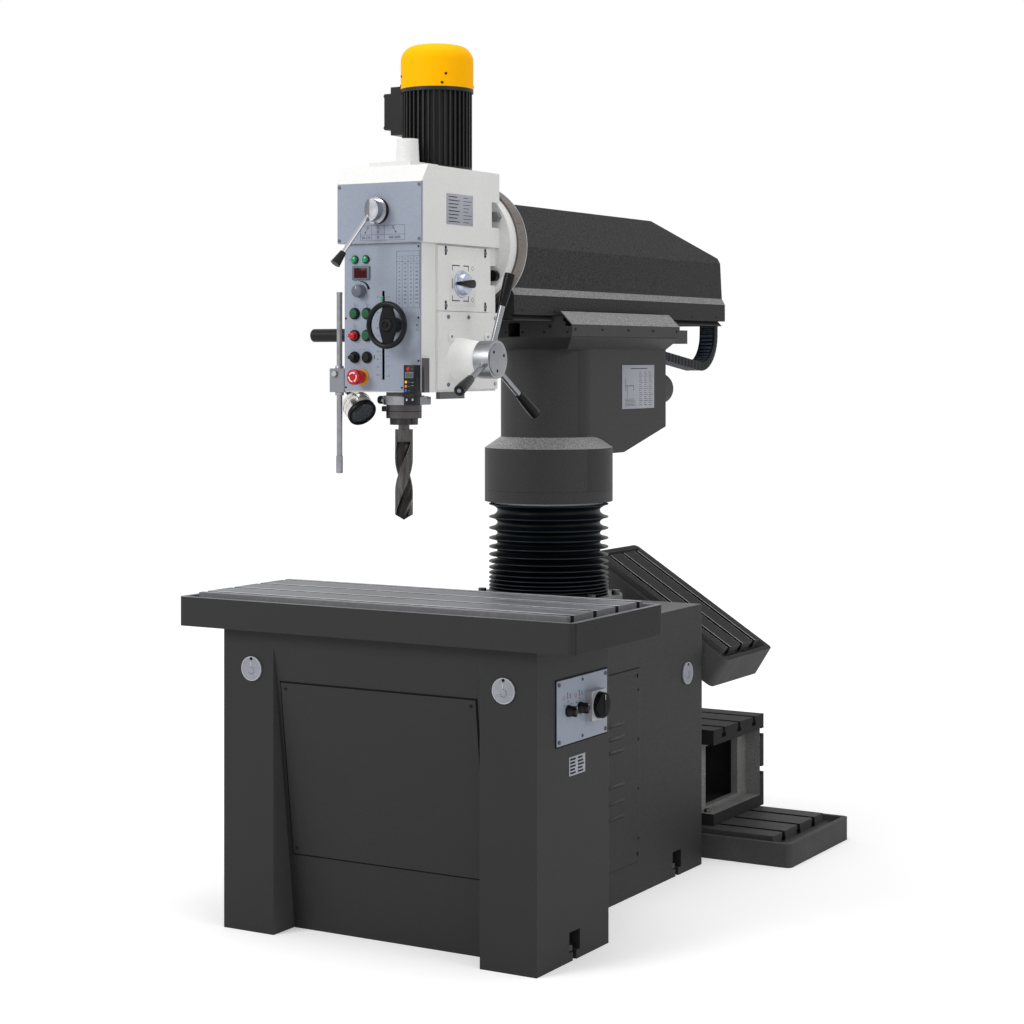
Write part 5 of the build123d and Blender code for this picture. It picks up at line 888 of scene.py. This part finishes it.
def arm_details():
    piece = Piece("saddle_details")
    front, chart = -201, 140
    for x in (-28, 28, 98, 173):
        piece.screw((x, front, 1592), -Y, 3.6, 1.6)
    piece.screw((117, front, 1608), -Y, 5, 2.0)
    for side, i in product((-1, 1), range(5)):
        piece.screw((side * 188, -180 + i * 162, 1600), X * side, 4.2, 2.0)
    piece.side_bar(label_grey, chart, 195, 407, 1367, 1498, 0.8, 0.3)
    bars = [(250, 360, 1486, 1489)]
    for i in range(17):
        z = 1477 - 6.2 * i
        for k, y in enumerate((305, 338, 370)):
            bars.append((y, y + 14 + 5 * ((i * 7 + k * 3) % 3), z - 0.7, z + 0.7))
    bars += [(214, 216, 1420, 1460), (216, 270, 1435, 1437), (268, 270, 1420, 1437), (228, 230, 1400, 1435)]
    bars += [(212, 284 - 9 * (i % 2), 1376 + i * 4, 1377 + i * 4) for i in range(6)]
    for bar in bars:
        piece.side_bar(pale_ink, chart + 0.7, *bar)
    piece.build("saddle")
    piece = Piece("ram_details")
    for side, i in product((-1, 1), range(8)):
        piece.screw((side * 130, -380 + i * 180, 1650), X * side, 3.4, 1.5)
    piece.build("ram")


def ring_scale():
    """Graduation on the swivel ring's rim, a line for every 5 degrees."""
    piece = Piece("swivel_scale", (0, -470, 1824))
    for step in range(-18, 19):
        a = radians(90 + step * 5)
        out = Vector((cos(a), 0, sin(a)))
        rim, width = out * 172, Vector((-sin(a), 0, cos(a))) * 0.45
        near, far = Y * 6, Y * (13 if step % 2 else 20)
        corners = [rim - width + near, rim + width + near, rim + width + far, rim - width + far]
        piece.slab(ink, corners, out * 0.2)
    piece.hoop(chrome, Y * 43.8, Y, 171.2, 1.5, 120, 8)
    piece.build("ram")


# Front of the head: print on the two panels, and the controls

def upper_print():
    piece = Piece("upper_panel_print", (0, UPPER_FACE, 0))
    piece.front_frame(pale_ink, -57, 80, 1821, 1860)
    piece.front_bar(pale_ink, -57, 80, 1835.6, 1836.4)
    for x in (-22, 17):
        piece.front_bar(pale_ink, x - 0.4, x + 0.4, 1821, 1860)
    for text, x in (("50-310", -39.5), ("0", -2.5), ("360-2600", 48.5)):
        piece.words(ink, text, x, 1828.4, 9.5)
    for x, lean in ((-38, -4), (-2.5, 0), (48, 4)):
        root, tip = Vector((x - lean, -0.1, 1855)), Vector((x + lean, -0.1, 1840))
        side = X * 0.5
        piece.hoop(pale_ink, root, Y, 3, 0.6, 20, 6, 0.4)
        piece.slab(pale_ink, [root - side, tip - side, tip + side, root + side], (0, -0.2, 0))
        arrow = [tip + Vector(p) for p in ((-2.2, 0, 4), (0, 0, -1.5), (2.2, 0, 4))]
        piece.slab(ink, arrow, (0, -0.25, 0))
    piece.build("head")


def lower_print():
    piece = Piece("lower_panel_print", (0, LOWER_FACE, 0))
    left, right, low, high = 45, 115.5, 1647, 1793
    piece.front_frame(pale_ink, left, right, low, high)
    piece.front_bar(pale_ink, left, right, 1766, 1766.6)
    piece.front_bar(pale_ink, left, right, 1780, 1780.5)
    width = (right - left) / 4
    for x in (left + width, left + 2 * width, left + 3 * width):
        piece.front_bar(pale_ink, x - 0.3, x + 0.3, low, 1780)
    for column, (first, step) in enumerate(((6, 2), (40, 35), (15, 5), (120, 90))):
        x = left + (column + 0.5) * width
        piece.words(ink, str(column + 1), x, 1773, 6)
        for row in range(11):
            piece.words(ink, str(first + row * step), x, 1760 - row * 10, 5.4)
    scale_top = 1676
    for i in range(22):
        z = scale_top - i * 10
        piece.front_bar(ink, -6 if i % 5 else -8, -2, z - 0.3, z + 0.3)
        if i % 2 == 0:
            piece.words(ink, str(i), -13, z, 6)
    for i in range(9):
        z = scale_top - i * 25.4
        piece.front_bar(ink, 12, 17, z - 0.3, z + 0.3)
        piece.words(ink, str(i), 22, z, 6)
    for x, z in product(BUTTON_X, (1655, 1599)):
        piece.hoop(pale_ink, (x, -0.1, z + 4), Y, 3.4, 0.5, 20, 6, 0.4, 30, 270)
        piece.front_bar(pale_ink, x - 0.4, x + 0.4, z - 6, z)
    for x in (-70, -58):
        piece.front_bar(pale_ink, x, x + 5, 1541, 1542)
    piece.front_bar(ink, -24, -22, 1516, 1526)
    piece.slab(ink, [(111, 0, 1603), (106, 0, 1606), (106, 0, 1600)], (0, -0.25, 0))
    for x in (106, 109):
        piece.front_bar(pale_ink, x, x + 0.8, 1588, 1594)
    for x in (-96, -36):
        piece.hoop(pale_ink, (x, -0.1, 1774), Y, 3.2, 0.5, 20, 6, 0.4)
    for x, z in ((-112, 1804), (112, 1804), (-112, 1622), (112, 1622), (-112, 1443), (62, 1443), (112, 1512)):
        piece.screw((x, 0, z), -Y, 2.8, 1.2)

    def by_knob(t, radius):
        a = radians(98 - 88 * t)
        return Vector((KNOB_X + radius * cos(a), 0, KNOB_Z + radius * sin(a)))

    for i in range(16):
        t, u = i / 16, (i + 1) / 16
        swell = [by_knob(t, 25 - 4 * t), by_knob(t, 26 + 3 * t), by_knob(u, 26 + 3 * u),
                 by_knob(u, 25 - 4 * u)]
        piece.slab(ink, swell, (0, -0.25, 0))
    piece.build("head")


def panel_fittings():
    """Lamps, display and the bezels of the buttons."""
    piece = Piece("panel_fittings_detail", (0, LOWER_FACE, 0))
    socket = [(0, 0), (11, 0), (11, 3), (9.6, 4), (9.2, 3.4), (0, 3.4)]
    lens = [(9, 3), (8.8, 6), (7, 9), (4, 10), (0, 10)]
    bezel = [(15, 0), (15, 5), (13.6, 7), (12.2, 7), (11.9, 6.4), (11.9, 0)]
    collar = [(10.6, 0), (21.5, 0), (21.5, 2.6), (20.4, 4), (10.6, 4)]
    for x in (-83, -49):
        piece.turn(black_plastic, -Y, socket, 32, (x, 0, 1774))
        piece.turn(green_lens, -Y, lens, 32, (x, 0, 1774))
    piece.block(slate_plastic, (-90, -5, 1721), (-36, 0, 1757), 1.6)
    piece.block(red_screen, (-83, -5.3, 1726), (-43, -4, 1752), 0.2)
    for x, z in product(BUTTON_X, BUTTON_Z):
        piece.turn(black_plastic, -Y, bezel, 40, (x, 0, z))
    piece.turn(yellow_plate, -Y, collar, 48, (STOP_X, 0, STOP_Z))
    piece.build("head", ("panel_fittings",))


# Round end of a handle, 210 degrees of a circle
ROUND_END = [(cos(radians(17.5 * i)), sin(radians(17.5 * i))) for i in range(-6, 7)]


def press_button(name, column, row, material):
    piece = Piece(name + "_cap", (BUTTON_X[column], LOWER_FACE, BUTTON_Z[row]))
    piece.turn(material, -Y, [(5, -26), (5, -5), (11.3, -5), (11.3, 9), (10.4, 10.6), (8, 11), (0, 10.4)], 36)
    piece.build(name, (name,))


def turn_selector(name, column, row, material):
    piece = Piece(name + "_knob", (BUTTON_X[column], LOWER_FACE - 7, BUTTON_Z[row]))
    piece.turn(material, -Y, [(5, -33), (5, -12), (11.3, -12), (11.3, 0), (10, 1.4), (0, 1.4)], 36)
    outline = [(1 + 8.2 * u, -1.2, 8.2 * v) for u, v in ROUND_END]
    outline += [(-15.2, -1.2, 1.0), (-15.2, -1.2, -1.0)]
    piece.slab(material, outline, (0, -10.6, 0), 1.6)
    piece.disc(white_mark, (-11.6, -11.7, 0), -Y, 1.2, 0.25, 12)
    piece.build(name, (name,))


def speed_knob():
    piece = Piece("speed_knob_cap", (KNOB_X, LOWER_FACE - 0.3, KNOB_Z))
    piece.turn(slate_plastic, -Y, [(4, -20), (4, 0), (16.8, 0), (17, 2), (16.2, 18), (15, 22),
                                   (12.5, 23.6), (0, 23.7)], 48)
    ribs = 24
    for i in range(ribs):
        a = 2 * pi * i / ribs
        piece.turn(slate_plastic, -Y, [(0, 0), (0.6, 0), (0.6, 14), (0, 15)], 6,
                   (16.3 * cos(a), -2, 16.3 * sin(a)))
    piece.block(white_mark, (-0.6, -23.9, 6), (0.6, -23.4, 12))
    piece.build("speed_knob", ("speed_knob",))


def emergency_stop():
    """Mushroom head with three arrows in a circle."""
    piece = Piece("emergency_stop_head", (STOP_X, LOWER_FACE - 43, STOP_Z))
    piece.turn(red_button, Y, [(0, 0.6), (16, 0), (18.6, 0.8), (20, 3), (20, 15), (18.6, 18),
                               (17.6, 20), (17.6, 33), (10, 33), (10, 58), (0, 58)], 56)
    _, side, other = square_axes(Y)
    for start in (15, 135, 255):
        piece.hoop(white_mark, Y * 0.25, Y, 11.5, 1.5, 20, 6, 0.3, start, 80)
        a = radians(start + 86)
        out, along = side * cos(a) + other * sin(a), other * cos(a) - side * sin(a)
        root = out * 11.5 - Y * 0.2
        arrow = [root - along * 2 + out * 3.4, root - along * 2 - out * 3.4, root + along * 3.2]
        piece.slab(white_mark, arrow, (0, 0.3, 0))
    piece.build("emergency_stop", ("emergency_stop",))


def fine_wheel():
    """Handwheel with one broad spoke that is widest at the hub."""
    piece = Piece("fine_feed_handwheel", (48, -928, 1603))
    piece.hoop(black_gloss, HERE, Y, 54, 7, 80, 16)
    spoke, narrow, bend = [], 15, 0.75
    for angle in range(-90, 270, 10):
        a = radians(angle)
        up = abs(sin(a))
        end = up > bend
        width = narrow if end else narrow + 10 * (1 - (up / bend) ** 1.6)
        x = max(-width, min(width, 168 * cos(a)))
        spoke.append((x, 10, 52 * sin(a) if end else 39 * sin(a) / bend))
    piece.slab(black_gloss, spoke, (0, -9, 0), 2.4)
    hub = [(0, 0), (19, 0), (20, 3), (20, 36), (18, 46), (14, 50), (10.5, 50), (10, 47), (0, 47)]
    piece.turn(black_plastic, -Y, hub, 40, Y * 44)
    piece.turn(black_gloss, -Y, [(0, -2), (6, -2), (6, 2), (4.6, 4), (0, 4)], 24, Y * -2)
    piece.turn(steel, Y, [(9, 0), (9, 46), (0, 46)], 24, Y * 44)
    piece.build("fine_feed_wheel", ("fine_feed_wheel",))


# Right side of the head: selector, plates, screws and the pilot wheel

def feed_selector():
    piece = Piece("feed_selector_knob", (125.3, -691, 1713))
    piece.turn(dial_metal, X, [(0, 0), (36, 0), (36, 2.6), (34.6, 4), (31, 4.4)], 56)
    piece.turn(dial_metal, X, [(31, 4.2), (30, 8), (27.4, 17), (25.6, 19.6), (22, 20.2), (0, 20.2)], 56)
    outline = [(17, -52, 4), (17, -52, -4)]
    outline += [(17, 12 + 11.6 * u, 11 * v) for u, v in ROUND_END]
    piece.slab(black_plastic, outline, (15, 0, 0), 3.6, 3)
    piece.turn(steel, -X, [(9.9, 0), (9.9, 6), (0, 6)], 24)
    piece.build("feed_selector", ("feed_selector",))


def side_details():
    piece = Piece("head_side_details")
    cover, plate = 125.0, 131
    dial_face = cover + 0.9
    piece.side_bar(white_paint, cover - 0.5, -748, -620, 1656, 1774, 1.4, 0.4)
    for z, (y0, y1) in product((1667, 1759), ((-738, -700), (-682, -655))):
        piece.side_bar(pale_ink, dial_face, y0, y1, z, z + 3, 0.25)
    for y, (z0, z1) in product((-738, -658), ((1667, 1682), (1747, 1762), (1700, 1726))):
        piece.side_bar(pale_ink, dial_face, y, y + 3, z0, z1, 0.25)
    for z in (1755, 1718, 1672):
        piece.hoop(pale_ink, (dial_face, -636, z), X, 5, 0.7, 24, 6, 0.3)
    piece.side_bar(label_grey, plate, -774, -643, 1866, 1946, 0.9, 0.4)
    for i in range(8):
        z = 1938 - 9.2 * i
        piece.side_bar(ink, plate + 0.8, -764, -722 + 6 * (i * 5 % 3), z - 1.1, z + 1.1)
        piece.side_bar(pale_ink, plate + 0.8, -692, -668 + 6 * (i * 3 % 4), z - 0.9, z + 0.9)
    for y, z in product((-769, -648), (1871, 1941)):
        piece.screw((plate + 0.8, y, z), X, 1.8, 0.8, zinc)
    for (y, z), dz in product(((-768, 1656), (-768, 1798), (-570, 1655), (-570, 1798)), (-8, 8)):
        piece.screw((cover, y, z + dz), X, 4.2, 1.8)
    for y in (-742, -560):
        plug = [(0, 0), (15, 0), (15, 2.4), (13, 3.4), (0, 3.4)]
        piece.turn(white_paint, X, plug, 36, (cover, y, 1575))
        piece.disc(pale_ink, (cover + 3.3, y, 1575), X, 4, 0.4, 6)
    piece.build("head")


def pilot_details():
    piece = Piece("pilot_hub_cap", PILOT)
    cap = [(0, -0.6), (43, -0.6), (43, 1.6), (41.5, 2.4), (0, 2.4)]
    grip = [(0, 0), (9.6, 0), (10.8, 3), (12.6, 24), (14.3, 66), (14.5, 78), (13, 85.6),
            (9.5, 87.4), (6.6, 87.4), (6.4, 86.6), (0, 86.6)]
    piece.turn(satin, X, cap, 64, X * 25.6)
    for k in range(3):
        a = radians(20 + 120 * k)
        piece.disc(seam, (27.8, 30 * cos(a), 30 * sin(a)), X, 4.2, 0.5, 20)
    lean = radians(10)
    for k in range(3):
        a = radians(80 + 120 * k)
        along = Vector((sin(lean), cos(lean) * cos(a), cos(lean) * sin(a)))
        piece.turn(black_gloss, along, grip, 32, along * 144)
        piece.disc(grey_block, along * 230.7, along, 5.6, 0.5, 6)
        piece.hoop(chrome, along * 50, along, 8.6, 1.4, 32, 8)
    piece.build("pilot_wheel")


# Below and above the head: reader, clamp, lamp, guard rod, motor

def reader_details():
    piece = Piece("depth_reader_face", (0, -906.2, 0))
    piece.block(black_plastic, (84.6, 0, 1428), (119.4, 25.2, 1501.4), 2.0)
    piece.block(black_plastic, (84.8, 0.6, 1398.6), (119.2, 23.2, 1429), 4.0, 3)
    red_key = [(0, 0), (5.0, 0), (5.0, 1.4), (3.8, 2), (0, 2)]
    key = [(0, 0), (3.5, 0), (3.5, 1.0), (2.4, 1.5), (0, 1.5)]
    piece.turn(red_button, -Y, red_key, 24, (99, 0, 1491))
    piece.front_bar(pale_ink, 107, 113, 1489.8, 1492)
    piece.block(slate_plastic, (89.5, -0.8, 1468), (115, 0, 1484), 0.4)
    piece.block(lcd_screen, (92, -1.0, 1470.5), (112.5, -0.5, 1481.5), 0.2)
    for material, z in ((amber_dot, 1458), (orange_dot, 1447), (blue_dot, 1436)):
        piece.turn(material, -Y, key, 20, (92.5, 0, z))
        piece.front_bar(pale_ink, 99, 105, z - 1, z + 1)
    for z in (1457, 1449):
        piece.front_bar(slate_plastic, 108.5, 115.5, z - 1.1, z + 1.1)
    for x in (94, 112):
        piece.screw((x, 0.6, 1413), -Y, 3.0, 1.4, chrome)
    piece.build("quill")


def clamp_details():
    piece = Piece("clamp_ring_details", (0, SPINDLE_Y, 0))
    knob = [(0, 0), (10.4, 0), (10.8, 1), (10.8, 9), (9.6, 11.4), (5, 11.4), (5, 6), (0, 6)]
    for side in (-1, 1):
        piece.turn(black_plastic, X * side, knob, 28, (side * 66, 0, 1409))
    piece.block(black_plastic, (-62, -13, 1379), (-40, 13, 1393), 2.0)
    piece.turn(dark_steel, -X, [(0, 0), (4.4, 0), (4.4, 2), (3.4, 3), (0, 3)], 6, (-61, 0, 1386))
    piece.hoop(seam, Z * 1380, Z, 46.3, 0.8, 64, 6)
    piece.build("quill")


def pointer_details():
    piece = Piece("depth_pointer")
    piece.block(green_lens, (2.8, -884.2, 1666), (7.2, -882.6, 1678), 0.4)
    piece.build("quill")


def work_lamp():
    piece = Piece("work_lamp_body", (-180, -771, 1431))
    aim = Vector((0.72, -0.32, -0.61)).normalized()
    piece.turn(lamp_shell, aim, [(0, 35.5), (14, 35.5), (28, 37.5), (35, 42), (38.2, 50), (38.4, 84),
                                 (37.5, 85)], 64)
    for distance in (56, 70):
        piece.hoop(satin, aim * distance, aim, 38.3, 0.6, 64, 8)
    piece.turn(black_plastic, aim, [(37.5, 84), (39, 84.4), (39.2, 94), (38, 96), (32.5, 96),
                                    (31.5, 92), (31.5, 86)], 64)
    piece.turn(lamp_glass, aim, [(0, 90.4), (16, 90.7), (31.6, 91.4)], 64)
    piece.disc(black_plastic, aim * 6, aim, 7, 30, 24)
    piece.turn(satin, Y, [(0, -9), (4, -8.2), (7.4, -5.2), (9, 0), (7.4, 5.2), (4, 8.2), (0, 9)], 28)
    piece.build("work_lamp", ("work_lamp",))


def rod_details():
    axis = (-146, -858, 0)
    piece = Piece("rod_clamp_details", axis)
    piece.turn(zinc, -Y, [(0, 0), (9, 0), (9, 4), (8, 6.5), (0, 6.5)], 6, (0, -20, 1478))
    for z, out, height in ((1492, Z, 5), (1430, -Z, 7)):
        collar = [(7.7, 0), (11.5, 0), (11.5, height), (10.5, height + 1.5), (7.7, height + 1.5)]
        piece.turn(satin, out, collar, 32, Z * z)
    piece.build("head")
    piece = Piece("guard_rod_sleeve", axis)
    piece.turn(satin, -Z, [(0, -0.4), (6, -0.4), (7.9, 1), (7.9, 7), (7.6, 7.4)], 28, Z * 1691)
    piece.turn(satin, Z, [(7.5, 46), (8.8, 45), (9.0, 42), (9.0, 3), (8.2, 0.4), (0, 0.4)], 40, Z * 1218)
    piece.build("guard_rod")


def motor_details():
    piece = Piece("motor_details", (0, MOTOR_Y, 0))
    for k, (z, start) in product(range(4), ((2246, 40), (2270, 46))):
        a = radians(start + 90 * k)
        out = Vector((cos(a), sin(a), 0))
        piece.screw(out * 97.5 + Z * z, out, 3.6, 1.8)
    for y, z in product((-43.5, 43.5), (2139, 2224)):
        piece.screw((-140.5, y, z), -X, 3.6, 2.0, zinc)
    piece.build("head")


def box_table_bolts():
    piece = Piece("box_table_bolts")
    for x, y in product((-245, 245), (565, 900)):
        bolt = [(0, 0), (11, 0), (11, 7), (9.5, 9), (0, 9)]
        piece.turn(dark_zinc, Z, bolt, 6, (x, y, 117))
    piece.build("base")


bellows()
cable_chain()
slot_lines("work_table_slot_edges", "base", 564, -711.5, 118, 4, 890, Matrix(), 3, 8)
slot_lines("tilt_table_slot_edges", "tilt_table", 244, 607, 92, 3, 253, TILTED, 0.6, 2.6)
base_details()
panel_marks()
for switch, switch_y in SMALL_SWITCHES.items():
    small_switch(switch, switch_y)
main_switch()
lifting_marks()
arm_details()
ring_scale()
upper_print()
lower_print()
panel_fittings()
press_button("start_button", 0, 0, green_button)
press_button("reverse_button", 1, 0, green_button)
press_button("tapping_button", 1, 1, green_button)
press_button("stop_button", 1, 2, black_plastic)
turn_selector("mode_selector", 0, 1, red_button)
turn_selector("light_selector", 0, 2, black_plastic)
speed_knob()
emergency_stop()
fine_wheel()
feed_selector()
side_details()
pilot_details()
reader_details()
clamp_details()
pointer_details()
work_lamp()
rod_details()
motor_details()
box_table_bolts()
